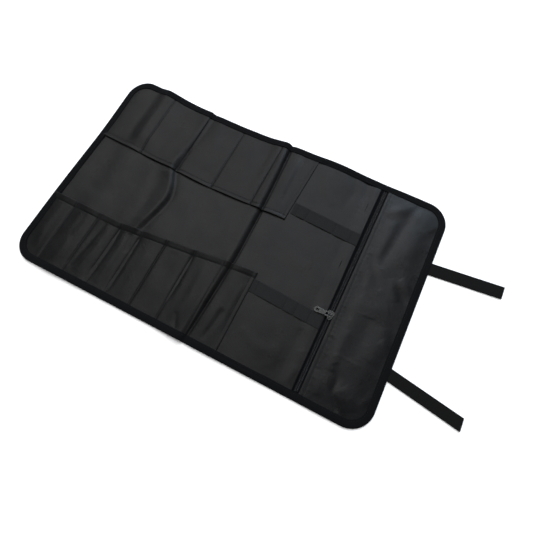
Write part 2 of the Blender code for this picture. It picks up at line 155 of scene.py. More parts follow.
# Each elastic band: its edges, how far its middle drifts from left to right, and its tacks.
BAND_Y = {side: y_extent(f"{side}_elastic_band_8") for side in ("far", "near")}
BAND_DRIFT = {"far": (2.3, -2.4), "near": (2.4, -2.4)}
TACKS = {"far": [350.0, 366.0, 412.0, 438.0], "near": [350.0, 395.0, 412.0, 433.0]}
BAND_GAP = 0.75
BAND_THICKNESS = 0.7

FACING_WIDTH = 27
# How far the zip's tapes stop short of the mat's edges.
TAPE_END = 5
TAPE_TOP = top_of("zip_tape_left")
COIL_ENDS = y_extent("zip_coil_left")

# How far the wrinkled cloth draws in the mat's far edge and its left end.
FAR_DRAWN_IN = 4.2
LEFT_DRAWN_IN = 1.5


def spot(x, y, z):
    """Mat millimetres to frame metres, as an array of points."""
    x, y, z = np.asarray(x, float), np.asarray(y, float), np.asarray(z, float)
    return np.stack([x * MM + CORNER[0], y * MM + CORNER[1], z * MM], -1)


def place(x, y, z):
    """As spot(), for cloth: the far edge is drawn in along its middle, and the left end a little."""
    x, y = np.asarray(x, float), np.asarray(y, float)
    far_edge = FAR_DRAWN_IN * hump(x, 195, 95) * np.clip((y - 120) / 230, 0, 1.2) ** 1.5
    return spot(x + LEFT_DRAWN_IN * (1 - smooth(x, 0, 70)), y - far_edge, z)


# ---------------- smooth functions of the plan


def smooth(value, low, high):
    t = np.clip((value - low) / (high - low), 0.0, 1.0)
    return t * t * (3.0 - 2.0 * t)


def hump(value, centre, width):
    return np.exp(-(((value - centre) / width) ** 2))


def on_arrays(height):
    """Lets a height function of the plan take numbers and arrays of any matching shapes."""

    def wrapped(x, y, *rest):
        return height(*np.broadcast_arrays(np.asarray(x, float), np.asarray(y, float)), *rest)

    return wrapped


def arches(x, marks, power):
    """0 on each mark and outside them all, and 1 midway between two of them."""
    full = np.zeros_like(x)
    for a, b in zip(marks, marks[1:]):
        inside = (x > a) & (x < b)
        full = np.where(inside, np.sin(pi * np.clip((x - a) / (b - a), 0, 1)) ** power, full)
    return full


LATTICE = np.random.default_rng(7).random((64, 64))


def noise(x, y, size, seed):
    """Smooth noise from -1 to 1 with features about `size` millimetres across."""
    u, v = x / size + 17.3 * seed, y / size + 5.1 * seed
    i, j = np.floor(u).astype(int), np.floor(v).astype(int)
    fu, fv = u - i, v - j
    fu, fv = fu * fu * (3 - 2 * fu), fv * fv * (3 - 2 * fv)
    corner = lambda a, b: LATTICE[(i + a) % 64, (j + b) % 64]
    low = corner(0, 0) * (1 - fu) + corner(1, 0) * fu
    high = corner(0, 1) * (1 - fu) + corner(1, 1) * fu
    return 2.0 * (low * (1 - fv) + high * fv) - 1.0


def curve_through(points):
    """A smooth line (Catmull-Rom) through a few plan points."""
    p = np.array([points[0]] + list(points) + [points[-1]], float)
    t = np.linspace(0, 1, 6, endpoint=False)[:, None]
    runs = []
    for a, b, c, d in zip(p, p[1:], p[2:], p[3:]):
        bend = (2 * a - 5 * b + 4 * c - d) * t**2 + (3 * b - a - 3 * c + d) * t**3
        runs.append(0.5 * (2 * b + (c - a) * t + bend))
    return np.vstack(runs + [p[-1:]])


def wrinkle(x, y, points, width, height, skew=1.0):
    """A ridge (height above zero) or valley beside a line of plan points, dying away at both ends.

    The plan points lie on its flank that faces right or near, and skew widens the side on the
    line's right, so that the fold leans.
    """
    line = curve_through(points) + np.array([0.5, -0.5]) * width
    best = np.full(x.shape, 1e9)
    along = np.zeros(x.shape)
    side = np.ones(x.shape)
    count = len(line) - 1
    for k in range(count):
        ax, ay = line[k]
        dx, dy = line[k + 1] - line[k]
        t = np.clip(((x - ax) * dx + (y - ay) * dy) / (dx * dx + dy * dy), 0, 1)
        d = np.hypot(x - ax - t * dx, y - ay - t * dy)
        near = d < best
        best = np.where(near, d, best)
        along = np.where(near, (k + t) / count, along)
        side = np.where(near, dx * (y - ay) - dy * (x - ax), side)
    reach = np.where(side < 0, width * skew, width)
    return height * np.exp(-((best / reach) ** 2)) * np.sqrt(np.sin(pi * along))


def wrinkles(x, y, table):
    return WRINKLE_GAIN * sum(wrinkle(x, y, *row) for row in table)


# ---------------- how the mat lies

# The two strong creases that run across the mat.
MAIN_CREASE = [
    (295, 0), (297, 30), (299, 60), (301, 100), (303, 140), (302.5, 180), (301.5, 225), (299.5, 270),
    (295, 350),
]
SOFT_CREASE = [
    (150, 0), (154, 100), (158, 124), (162, 140), (166.5, 160), (168.5, 180), (163, 202), (152, 226),
    (150, 245), (153, 275), (155, 305), (156, 350),
]
# Where the meshes are finer, so that they hold the main crease's narrow groove.
CREASE_STATIONS = [291.0, 294.0, 297.0, 300.0, 303.0, 306.0]
# Depth of each crease at places across the mat: Y, then millimetres.
MAIN_DEPTH = [0, 60, 130, 225, 350], [4.8, 5.8, 5.2, 4.8, 5.2]
SOFT_DEPTH = [0, 100, 130, 215, 260, 350], [0.4, 1.0, 5.2, 6.0, 3.2, 3.8]
# Broad swells: height, then middle and half-width along X, then the same along Y.
SWELLS = [(1.4, 138, 30, 250, 50), (1.8, 8, 26, 120, 90)]
# Waves of the far edge: height, middle and half-width along X, and the Y where they begin.
FAR_WAVES = [(6.6, 26, 40, 215), (3.2, 376, 36, 250), (0.8, 228, 18, 250)]


def valley(x, y, path, left, right, depths, bite=0.0):
    """Lift of the mat beside a crease: a steep flank on its left and a gentle one on its right.

    With bite, the steep flank is steepest at its foot and ends in a narrow groove.
    """
    line = curve_through(path)
    d = x - np.interp(y, line[:, 1], line[:, 0])
    climb = np.clip(-d / left, 0, 1)
    climb = bite * (1 - (1 - climb) ** 2) + (1 - bite) * climb * climb * (3 - 2 * climb)
    steep = climb * hump(d, 0, 2.7 * left)
    gentle = 0.5 * (1 - np.exp(-np.maximum(d, 0) / right)) * hump(d, 0, 2.7 * right)
    foot = bite * (0.06 * hump(d, 0, 14) - 0.34 * hump(d, -0.6, 2.0))
    return np.interp(y, *depths) * (np.where(d < 0, steep, gentle) + foot)


@on_arrays
def rise(x, y):
    """Lift of the whole mat off the ground at a point of the plan."""
    lift = valley(x, y, MAIN_CREASE, 11.0, 12.0, MAIN_DEPTH, 0.85)
    lift = lift + valley(x, y, SOFT_CREASE, 10.8, 12.0, SOFT_DEPTH)
    for height, middle, half, start in FAR_WAVES:
        lift = lift + height * hump(x, middle, half) * smooth(y, start, MAT_WIDTH)
    for height, middle_x, half_x, middle_y, half_y in SWELLS:
        lift = lift + height * hump(x, middle_x, half_x) * hump(y, middle_y, half_y)
    # The far left corner steps up towards the right, and the left end stands off the table.
    lift = lift + 4.2 * smooth(x, 46, 70) * (1 - smooth(x, 74, 125)) * smooth(y, 222, 262)
    lift = lift + 1.5 * smooth(x, -40, 24) * (1 - smooth(x, 112, 140)) + 1.2 * hump(x, 66, 18)
    # Slow unevenness, then folds of drape that lean across the mat and stop short of the zip.
    uneven = 1 + noise(x, y, 60, 3)
    lift = lift + 0.5 * uneven * smooth(x, 20, 90) * smooth(MAT_LENGTH - x, 10, 60)
    drape = 1 + noise(0.90 * x + 0.44 * y, 0.25 * (0.90 * y - 0.44 * x), 24, 4)
    lift = lift + 0.42 * drape * smooth(x, 20, 80) * smooth(440 - x, 10, 60)
    return np.maximum(lift * (1 - hump(x, ZIP_CENTRE, 18)), 0.0)


# ---------------- cloth surfaces

# Each wrinkle: a line of plan points, its half-width, its height before the gain and its skew.
WRINKLE_GAIN = 1.6
PANEL_WRINKLES = [
    ([(236, 225), (238, 190), (232, 150), (226, 132)], 5.0, 0.35, 1.6),
    ([(262, 222), (266, 180), (262, 140)], 7.0, 0.25, 1.5),
    ([(110, 225), (118, 190), (124, 150), (120, 118)], 6.0, 0.35, 1.8),
    ([(30, 160), (52, 144), (78, 156)], 9.0, -0.22),
    ([(20, 132), (60, 136), (95, 125)], 9.0, 0.16),
    ([(352, 200), (378, 178), (402, 182)], 9.0, 0.25),
    ([(360, 330), (372, 300), (392, 285)], 7.0, 0.30),
    ([(400, 345), (412, 320), (408, 290)], 5.0, -0.35, 1.5),
    ([(352, 60), (380, 45), (410, 52)], 8.0, 0.25),
    ([(396, 90), (412, 60), (410, 25)], 6.0, 0.25, 1.5),
    ([(185, 222), (190, 190), (205, 160), (204, 128)], 6.0, 0.30, 1.5),
    ([(428, 240), (434, 215), (442, 190), (444, 158), (444, 130)], 5.5, -0.32, 1.4),
    ([(428, 345), (434, 320), (440, 295), (444, 265)], 5.5, -0.30, 1.4),
    ([(428, 92), (435, 78), (442, 66)], 5.5, -0.28, 1.4),
    ([(442, 44), (440, 27), (434, 14)], 5.0, 0.25, 1.4),
]
FAR_WRINKLES = [
    ([(116, 340), (118, 300), (112, 250)], 10.0, 0.35),
    ([(168, 345), (172, 310), (182, 280), (186, 250)], 8.0, 0.60, 1.4),
    ([(236, 340), (240, 300), (236, 250)], 9.0, 0.35, 1.3),
    ([(262, 345), (264, 300), (262, 240)], 4.0, -0.30, 1.6),
    ([(306, 344), (312, 300), (308, 240)], 6.0, 0.35, 1.3),
    ([(322, 344), (320, 300), (322, 250)], 3.5, -0.35, 1.2),
]
NEAR_WRINKLES = [
    ([(24, 100), (22, 60), (28, 24)], 5.0, 0.30, 1.2),
    ([(64, 104), (66, 84), (63, 62)], 4.5, -0.35, 1.3),
    ([(66, 60), (66, 40), (62, 22)], 5.0, 0.35, 1.3),
    ([(103, 102), (99, 76), (96, 50), (91, 22)], 3.2, -0.80, 1.5),
    ([(112, 100), (110, 60), (104, 20)], 4.5, 0.45, 1.2),
    ([(128, 112), (127, 60), (124, 12)], 3.8, -0.95, 1.6),
    ([(139, 104), (140, 60), (137, 20)], 5.0, 0.35, 1.2),
    ([(143, 104), (148, 90), (153, 76)], 3.6, -0.50, 1.4),
    ([(160, 106), (160, 60), (161, 12)], 3.4, -0.75, 1.6),
    ([(181, 104), (180, 60), (178, 20)], 6.0, 0.30, 1.2),
    ([(216, 110), (220, 60), (216, 20)], 9.0, -0.45, 1.2),
    ([(244, 116), (245, 80), (246, 40)], 3.2, -0.55, 1.6),
    ([(266, 112), (268, 60), (262, 22)], 5.0, 0.35, 1.2),
    ([(266, 34), (270, 22), (276, 12)], 3.0, -0.45, 1.2),
    ([(320, 66), (319, 46), (315, 18)], 3.8, -0.75, 1.2),
    ([(330, 112), (328, 80), (330, 40)], 4.0, 0.30, 1.2),
]
FRONT_WRINKLES = [
    ([(506, 345), (502, 312), (498, 280), (494, 248), (490, 222)], 7.0, -1.05, 1.3),
    ([(530, 338), (522, 300), (516, 262), (514, 236)], 10.0, 0.40, 1.2),
    ([(468, 306), (484, 320), (506, 338)], 6.5, 0.75, 1.2),
    ([(480, 300), (482, 270), (480, 235)], 8.0, 0.40, 1.2),
    ([(472, 236), (486, 214), (503, 190)], 6.0, -0.65, 1.2),
    ([(512, 214), (520, 200), (528, 184)], 7.0, 0.45, 1.2),
    ([(550, 322), (540, 312), (530, 296)], 6.5, 0.45, 1.2),
    ([(550, 202), (538, 208), (524, 218)], 5.5, 0.70, 1.2),
    ([(548, 190), (534, 194), (520, 204)], 5.5, -0.50, 1.2),
    ([(480, 172), (500, 164), (524, 172)], 10.0, 0.45, 1.2),
    ([(502, 150), (505, 118), (503, 84)], 10.0, -0.95, 1.3),
    ([(528, 146), (532, 118), (526, 92)], 9.0, 0.55, 1.2),
    ([(550, 112), (541, 117), (530, 124)], 5.0, 0.55, 1.2),
    ([(484, 118), (482, 90), (486, 60)], 8.0, 0.45, 1.2),
    ([(488, 70), (498, 54), (499, 36), (509, 22), (514, 12)], 4.6, -1.05, 1.2),
    ([(508, 48), (520, 38), (528, 24)], 6.5, 0.60, 1.2),
    ([(550, 56), (543, 44), (534, 32)], 6.0, 0.60, 1.2),
    ([(468, 50), (478, 38), (482, 22)], 5.0, 0.45, 1.2),
    ([(468, 100), (477, 92), (483, 80)], 3.6, -0.40),
    ([(468, 200), (476, 196), (482, 186)], 3.6, -0.35),
    ([(467, 145), (476, 140), (483, 132)], 3.6, -0.35),
]


def ripples(x, y, seed, amount=1.0):
    """Fine unevenness of cloth that is sewn down only at its seams."""
    broad = 0.16 * noise(x, y, 26, seed) + 0.08 * noise(x, y, 12, seed + 1)
    return amount * (broad + 0.03 * noise(x, y, 5, seed + 2))


def outline_low(x, inset):
    """The mat's near edge at x, moved inwards by inset, with its round corners."""
    radius = CORNER_RADIUS - inset
    off = np.maximum(0, np.maximum(CORNER_RADIUS - x, x - (MAT_LENGTH - CORNER_RADIUS)))
    return inset + radius - np.sqrt(np.maximum(0, radius**2 - np.minimum(off, radius) ** 2))


def edge_distance(x, y):
    """Distance inwards from the mat's edge."""
    cx = np.clip(x, CORNER_RADIUS, MAT_LENGTH - CORNER_RADIUS)
    cy = np.clip(y, CORNER_RADIUS, MAT_WIDTH - CORNER_RADIUS)
    in_corner = (cx != x) & (cy != y)
    straight = np.minimum(np.minimum(x, MAT_LENGTH - x), np.minimum(y, MAT_WIDTH - y))
    return np.where(in_corner, CORNER_RADIUS - np.hypot(x - cx, y - cy), straight)


def zip_trough(x):
    """The mat is sunk a little under the zip."""
    return 0.9 * hump(x, ZIP_CENTRE, 9.0) ** 4


@on_arrays
def panel_top(x, y):
    z = PANEL_TOP + rise(x, y) + wrinkles(x, y, PANEL_WRINKLES) + ripples(x, y, 11)
    return z - zip_trough(x)


def far_mouth(x):
    """Y of the far pockets' free edge, which bows towards the near side."""
    bow = np.interp(x, [10, 60, 110, 200, 290, 335], [5.0, 2.6, 0.0, -1.6, -1.4, 1.0])
    return FAR_FREE_EDGE + bow


def near_mouth(x):
    return np.interp(x, NEAR_MOUTH_X, NEAR_MOUTH_Y)


def seam_pull(x, seams, width):
    """1 on a seam, falling to 0 between the seams."""
    return np.max([hump(x, seam, width) for seam in seams], axis=0)


def pocket_fullness(x, seams):
    return arches(x, [BINDING_WIDTH - 2] + list(seams), 0.7)


def hem_shape(inward, hem, gape):
    """A folded hem: its free edge gapes, and a groove lies along its stitches."""
    roll = 0.34 * smooth(inward, -0.2, 1.2) * smooth(hem + 1.6 - inward, 0.0, 2.0)
    mouth = gape * np.clip(1 - inward / (hem + 1.0), 0, 1) ** 1.3
    return roll + mouth - 0.46 * hump(inward, hem, 0.9)


def end_hem(inward, height):
    """The folded right end of a pocket strip, with a groove along its stitches."""
    return height * smooth(HEM + 2 - inward, 0, 2) - 0.30 * hump(inward, HEM, 0.9)


@on_arrays
def far_top(x, y):
    """Top of the far pocket strip, whose mouths face the near side."""
    inward = y - far_mouth(x)
    end = np.interp(y, [FAR_FREE_EDGE, MAT_WIDTH], FAR_END)
    mouth = np.exp(-inward / 38.0)
    full = pocket_fullness(x, FAR_SEAMS + [end.min() - HEM]) * smooth(MAT_WIDTH - y, 8, 60)
    low = 0.75 + 0.75 * mouth
    z = PANEL_TOP + rise(x, y) + low + full * (0.55 + 0.75 * mouth)
    z = z - SEAM_DEPTH * seam_pull(x, FAR_SEAMS, 1.5) + hem_shape(inward, FAR_HEM, 0.55)
    z = z + end_hem(end - x, 0.30)
    return z + wrinkles(x, y, FAR_WRINKLES) * smooth(inward, 2, 14) + ripples(x, y, 23)


@on_arrays
def near_top(x, y):
    """Top of the near pocket strip, whose mouths face the far side."""
    inward = near_mouth(x) - y
    mouth = np.exp(-inward / 30.0)
    full = pocket_fullness(x, NEAR_SEAMS + [NEAR_END - HEM]) * smooth(y, 8, 50)
    z = PANEL_TOP + rise(x, y) + 0.75 + 0.45 * mouth + full * (0.95 + 0.75 * mouth)
    z = z - SEAM_DEPTH * seam_pull(x, NEAR_SEAMS, 1.6) + hem_shape(inward, NEAR_HEM, 1.4)
    z = z + end_hem(NEAR_END - x, 0.35)
    return z + wrinkles(x, y, NEAR_WRINKLES) * smooth(inward, 2, 14) + ripples(x, y, 31)


@on_arrays
def facing_top(x, y):
    """The lining where it climbs over the zip's left tape to its folded edge."""
    climb = smooth(x, FACING_EDGE - 24, FACING_EDGE - 5)
    start = 0.12 * smooth(x, FACING_EDGE - FACING_WIDTH, FACING_EDGE - 22) - 0.12
    return panel_top(x, y) + start + zip_trough(x) + 1.55 * climb


@on_arrays
def front_top(x, y):
    """The zip pocket's front, which is slack and wrinkled."""
    from_zip = x - FRONT_EDGE
    z = PANEL_TOP + rise(x, y) + 0.95 + 0.75 * hump(from_zip, 0, 13.0)
    seam = 0.30 * hump(from_zip, FRONT_SEAM, 0.9)
    pucker = 0.05 * np.sin(y * 2 * pi / 7.3 + 5 * noise(x, y, 30, 5)) * hump(from_zip, 7, 5)
    pucker = pucker * (1 + noise(x, y, 40, 6))
    edges = smooth(from_zip, 3, 12) * smooth(edge_distance(x, y), 6, 18)
    slack = 0.9 * smooth(from_zip, 6, 26) * smooth(edge_distance(x, y), 8, 34)
    z = z - seam + pucker + slack + 0.72 * wrinkles(x, y, FRONT_WRINKLES) * (0.15 + 0.85 * edges)
    z = z + 0.9 * hump(x, 520, 30) * hump(y, 60, 40) + 0.8 * hump(x, 530, 26) * hump(y, 250, 45)
    return z + ripples(x, y, 47, 1.3)


def band_centre(x, side):
    """Each band runs slightly downhill to the right."""
    return sum(BAND_Y[side]) / 2 + np.interp(x, [345, 445], BAND_DRIFT[side])


@on_arrays
def band_top(x, y, side):
    """An elastic band, raised a little between its tacks, more along its near edge."""
    under = np.where(x > FACING_EDGE - 26, facing_top(x, y), panel_top(x, y))
    lean = 0.35 + 0.65 * smooth(band_centre(x, side) + 8 - y, 0, 18)
    full = 0.95 * arches(x, TACKS[side], 0.8) * lean
    return under + BAND_GAP + full - 0.5 * seam_pull(x, TACKS[side], 0.9)


# ---------------- meshes

# How far a sheet's rolled edge stands out, as a share of half its thickness.
RIM_BULGE = 0.8

COLLECTION = bpy.data.collections.new("brush_roll_looks")
bpy.context.scene.collection.children.link(COLLECTION)


def make_object(name, points, faces, uvs, material, crisp=()):
    """A smooth-shaded mesh. uvs holds cloth coordinates in metres for each vertex.

    crisp holds the vertices of cut ends, where the shading breaks instead of rounding over.
    """
    mesh = bpy.data.meshes.new(name)
    mesh.from_pydata(np.asarray(points).tolist(), [], [list(face) for face in faces])
    mesh.polygons.foreach_set("use_smooth", np.ones(len(mesh.polygons), bool))
    layer = mesh.uv_layers.new(name="cloth")
    corners = np.zeros(len(mesh.loops), np.int32)
    mesh.loops.foreach_get("vertex_index", corners)
    layer.data.foreach_set("uv", np.asarray(uvs, np.float32)[corners].ravel())
    mesh.materials.append(material)
    mesh.validate()
    if len(crisp):
        cut = np.zeros(len(points), bool)
        cut[np.asarray(crisp)] = True
        ends = np.zeros(2 * len(mesh.edges), np.int32)
        mesh.edges.foreach_get("vertices", ends)
        breaks = cut[ends].reshape(-1, 2).all(1)
        mesh.attributes.new("sharp_edge", "BOOLEAN", "EDGE").data.foreach_set("value", breaks)
    obj = bpy.data.objects.new(name, mesh)
    COLLECTION.objects.link(obj)
    return obj


def grid_faces(rows, columns, start=0, flip=False):
    i, j = np.meshgrid(np.arange(rows - 1), np.arange(columns - 1), indexing="ij")
    a = (start + i * columns + j).ravel()
    quads = np.stack([a, a + columns, a + columns + 1, a + 1], -1)
    return quads[:, ::-1].tolist() if flip else quads.tolist()


def ring_faces(rings, count):
    """The faces between each closed ring of count points and the next."""
    faces = []
    for k in range(rings - 1):
        for j in range(count):
            a, b = k * count, (k + 1) * count
            j2 = (j + 1) % count
            faces.append([a + j, a + j2, b + j2, b + j])
    return faces


def sheet_object(name, x, y, top, bottom, material, rounded=(0, 0, 0, 0)):
    """A closed sheet between two height grids over the same plan grid.

    rounded says which of its four edges (low X, high X, low Y, high Y) are rolled and not flat cuts.
    """
    rows, columns = x.shape
    count = rows * columns
    ring = [(i, 0) for i in range(rows)] + [(rows - 1, j) for j in range(1, columns)]
    ring += [(i, columns - 1) for i in range(rows - 2, -1, -1)]
    ring += [(0, j) for j in range(columns - 2, 0, -1)]
    i, j = np.array(ring).T
    ends = np.array([i == 0, i == rows - 1, j == 0, j == columns - 1])
    inner_i = i + ends[0] * rounded[0] - ends[1] * rounded[1]
    inner_j = j + ends[2] * rounded[2] - ends[3] * rounded[3]
    out = np.stack([x[i, j] - x[inner_i, inner_j], y[i, j] - y[inner_i, inner_j]], -1)
    length = np.linalg.norm(out, axis=1, keepdims=True)
    out = np.divide(out, length, out=np.zeros_like(out), where=length > 1e-9)
    middle = (top[i, j] + bottom[i, j]) / 2
    reach = (top[i, j] - bottom[i, j]) / 2 * RIM_BULGE
    rim = np.stack([x[i, j], y[i, j]], -1) + out * reach[:, None]
    surfaces = [place(x, y, height).reshape(-1, 3) for height in (top, bottom)]
    points = np.vstack(surfaces + [place(rim[:, 0], rim[:, 1], middle)])
    faces = grid_faces(rows, columns) + grid_faces(rows, columns, count, True)
    around = i * columns + j
    total = len(ring)
    for k in range(total):
        k2 = (k + 1) % total
        a, b, r, r2 = around[k], around[k2], 2 * count + k, 2 * count + k2
        faces += [[a, r, r2, b], [r, a + count, b + count, r2]]
    plan = np.stack([x, y], -1).reshape(-1, 2)
    flat = (ends & ~np.array(rounded, bool)[:, None]).any(0)
    crisp = np.concatenate([around[flat], around[flat] + count])
    return make_object(name, points, faces, np.vstack([plan, plan, rim]) * MM, material, crisp)


CLOSE_BESIDE = (-1.2, -0.6, 0.0, 0.6, 1.2)


def stations(low, high, step, near=(), offsets=(-1.6, -0.8, 0.0, 0.8, 1.6)):
    """Values from low to high about a step apart, with some more beside each seam."""
    margin = 0.15 * step
    extra = [seam + offset for seam in near for offset in offsets]
    extra = [value for value in extra if low + margin < value < high - margin]
    inner = np.linspace(low, high, max(2, ceil((high - low) / step) + 1))[1:-1]
    kept = [value for value in inner if all(abs(value - other) > 0.45 * step for other in extra)]
    return np.array(sorted([low, high] + kept + extra))


def bend_over(obj, number):
    """Bakes the piece's placing into its mesh; the ends of the strip about length `number`'s fold line are
    worked out but not used.
    """
    half = LAST_BEND if number == len(FOLDS) else BEND
    start, end = (tuple(spot(FOLDS[number - 1] + side * half, 0, 0)) for side in (-1, 1))
    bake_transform(obj)
    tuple(start)
    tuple(end)


def stand_for(nodes):
    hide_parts(*[node for node in nodes if node in frame["nodes"]])


def finish_piece(obj, number, nodes):
    bend_over(obj, number)
    stand_for(nodes)


def finish_zip_piece(obj, slot, *nodes):
    """The zip bends with no fold line: all of it is on the section left of the last one."""
    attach(obj, "section_9")
    stand_for(nodes)


def near_sections(number, name):
    """The nodes called name_N that length `number` stands for, and the last one's neighbour."""
    nodes = [f"{name}_{number}"]
    if number == len(FOLDS):
        nodes.append(f"{name}_{number + 1}")
    return nodes


def declare(wide, long, number):
    """Looks up the back panel nodes of length `number` and does nothing with them; wide and long, the
    piece's cut size in millimetres, are not used.
    """
    panels = near_sections(number, "back_panel")


# ---------------- materials

# Width of one thread of the woven cloth, and the pitch of the thread round a rib.
WARP = 0.55 * MM
THREAD_PITCH = 0.45 * MM
COOL_SHEEN = (0.72, 0.84, 1.0, 1.0)
TAPE_SHEEN = (0.8, 0.9, 1.0, 1.0)


class Finish:
    """A procedural material: helpers that add nodes, and the shader they lead to."""

    def __init__(self, name, roughness, specular=0.5, metallic=0.0):
        self.material = bpy.data.materials.new(name)
        self.material.use_nodes = True
        self.tree = self.material.node_tree
        self.shader = self.tree.nodes["Principled BSDF"]
        self.shader.inputs["Roughness"].default_value = roughness
        self.shader.inputs["Specular IOR Level"].default_value = specular
        self.shader.inputs["Metallic"].default_value = metallic
        self.uv = self.add("ShaderNodeUVMap", uv_map="cloth").outputs["UV"]

    def add(self, kind, settings=None, **attributes):
        made = self.tree.nodes.new(kind)
        for key, value in attributes.items():
            setattr(made, key, value)
        for key, value in (settings or {}).items():
            self.feed(made.inputs[key], value)
        return made

    def feed(self, socket, value):
        if isinstance(value, bpy.types.NodeSocket):
            self.tree.links.new(value, socket)
        else:
            socket.default_value = value

    def math(self, operation, a, b=0.0, c=0.0):
        made = self.add("ShaderNodeMath", {0: a, 1: b, 2: c}, operation=operation)
        return made.outputs[0]

    def axes(self):
        made = self.add("ShaderNodeSeparateXYZ", {0: self.uv})
        return made.outputs[0], made.outputs[1]

    def noise(self, scale, detail=2.0, source=None):
        settings = {"Vector": source or self.uv, "Scale": scale, "Detail": detail}
        return self.add("ShaderNodeTexNoise", settings).outputs["Fac"]

    def wave(self, coordinate, pitch):
        """1 to -1 along a coordinate, once in each pitch."""
        return self.math("SINE", self.math("MULTIPLY", coordinate, 2 * pi / pitch))

    def ramp(self, factor, stops):
        made = self.add("ShaderNodeValToRGB", {"Fac": factor})
        ramp = made.color_ramp
        while len(ramp.elements) < len(stops):
            ramp.elements.new(1.0)
        for element, (position, colour) in zip(ramp.elements, stops):
            element.position = position
            element.color = (*colour, 1.0)
        return made.outputs["Color"]

    def range(self, value, low, high, to_low, to_high):
        settings = {0: value, 1: low, 2: high, 3: to_low, 4: to_high}
        return self.add("ShaderNodeMapRange", settings).outputs[0]

    def bump(self, height, distance, strength=1.0, under=None):
        settings = {"Height": height, "Distance": distance, "Strength": strength}
        if under is not None:
            settings["Normal"] = under
        return self.add("ShaderNodeBump", settings).outputs["Normal"]

    def set(self, **values):
        for key, value in values.items():
            self.feed(self.shader.inputs[key.replace("_", " ")], value)

    def tones(self, value, colour, *stops):
        """The base colour, darker and lighter where a value says: stops of position and brightness."""
        shades = [(at, tuple(channel * bright for channel in colour)) for at, bright in stops]
        self.set(Base_Color=self.ramp(value, shades))

    def uneven_shine(self, factor, low, high):
        """Roughness that follows a noise from low to high."""
        self.set(Roughness=self.range(factor, 0.3, 0.7, low, high))


def woven_nylon(name, colour, roughness, sheen, gloss):
    """Fine plain weave with a smooth coating: slightly uneven in tone and in shine."""
    finish = Finish(name, roughness, gloss)
    u, v = finish.axes()
    warp = finish.wave(u, 2 * WARP)
    weave = finish.math("MULTIPLY", warp, finish.wave(v, 2 * WARP))
    threads = finish.math("ADD", finish.math("ABSOLUTE", warp), weave)
    mottle = finish.noise(38.0, 5.0)
    grain = finish.math("MULTIPLY", finish.noise(900.0, 2.0), 0.45)
    tone = finish.math("ADD", finish.math("MULTIPLY", mottle, 0.55), grain)
    finish.tones(tone, colour, (0.30, 0.6), (0.52, 1.0), (0.75, 1.5))
    finish.uneven_shine(mottle, roughness - 0.09, roughness + 0.09)
    relief = finish.bump(threads, 0.035 * MM, 0.5)
    finish.set(Normal=finish.bump(finish.noise(320.0, 4.0), 0.24 * MM, 0.6, relief))
    finish.set(Sheen_Weight=sheen, Sheen_Roughness=0.45, Sheen_Tint=COOL_SHEEN)
    return finish.material


def ribbed_tape(name, colour, rib, along=0, roughness=0.8, depth=0.16, sheen=0.10):
    """Ribs across the tape or elastic, each wrapped in fine thread, with painted shade in the grooves and
    painted highlights on the rib tops. along is the axis they follow on.
    """
    finish = Finish(name, roughness, 0.045)
    axes = finish.axes()
    ribs = finish.math("ABSOLUTE", finish.wave(axes[along], 2 * rib))
    threads = finish.wave(axes[1 - along], THREAD_PITCH)
    fuzz = finish.noise(1500.0, 3.0)
    height = finish.math("ADD", ribs, finish.math("MULTIPLY", threads, 0.22))
    height = finish.math("ADD", height, finish.math("MULTIPLY", fuzz, 0.35))
    # Painted shade and highlight: the base colour follows the rib height, darker in the grooves and
    # lighter on the tops.
    finish.tones(height, colour, (0.15, 0.35), (0.75, 1.0), (1.0, 1.9))
    finish.set(Normal=finish.bump(height, depth * MM, 0.9))
    finish.set(Sheen_Weight=sheen, Sheen_Roughness=0.5, Sheen_Tint=TAPE_SHEEN)
    return finish.material


def dark_metal(name, colour, roughness):
    """Dark nickel plate, lighter in random rubbed patches, with painted highlights along its edges."""
    finish = Finish(name, roughness, 0.5, 1.0)
    where = finish.add("ShaderNodeTexCoord").outputs["Object"]
    bevelled = finish.add("ShaderNodeBevel", {"Radius": 0.35 * MM}, samples=4).outputs["Normal"]
    sharp = finish.add("ShaderNodeVectorMath", {0: bevelled}, operation="DOT_PRODUCT")
    geometry = finish.add("ShaderNodeNewGeometry")
    finish.feed(sharp.inputs[1], geometry.outputs["Normal"])
    # Painted highlight: the base colour is up to 5.5 times lighter along sharp edges, where the rounded
    # normal turns from the face's own.
    edge = finish.range(sharp.outputs["Value"], 0.99, 0.86, 0.0, 1.0)
    scratch = finish.noise(700.0, 4.0, where)
    rubbed_and_edge_highlight = finish.math("ADD", edge, finish.range(scratch, 0.55, 0.8, 0.0, 0.5))
    finish.tones(rubbed_and_edge_highlight, colour, (0.1, 0.8), (0.9, 5.5))
    finish.uneven_shine(scratch, roughness - 0.08, roughness + 0.10)
    finish.set(Normal=finish.bump(scratch, 0.03 * MM, 0.4))
    return finish.material


def thread(name, colour):
    """Twisted sewing thread, with painted shade and highlights along its twist."""
    finish = Finish(name, 0.6, 0.15)
    u, v = finish.axes()
    twist = finish.wave(finish.math("ADD", u, finish.math("MULTIPLY", v, 0.8)), 0.35 * MM)
    # Painted shade and highlight: the base colour is darker in the twist's grooves and lighter on its
    # crests.
    finish.tones(twist, colour, (0.2, 0.6), (0.9, 1.5))
    finish.set(Normal=finish.bump(twist, 0.05 * MM, 0.8))
    finish.set(Sheen_Weight=0.02, Sheen_Roughness=0.4)
    return finish.material


def moulded_nylon(name, colour):
    """Smooth drawn nylon filament, faintly streaked."""
    finish = Finish(name, 0.34, 0.5)
    streak = finish.noise(2600.0, 2.0)
    finish.tones(streak, colour, (0.3, 0.75), (0.7, 1.3))
    finish.uneven_shine(streak, 0.28, 0.42)
    finish.set(Normal=finish.bump(streak, 0.02 * MM, 0.4))
    return finish.material


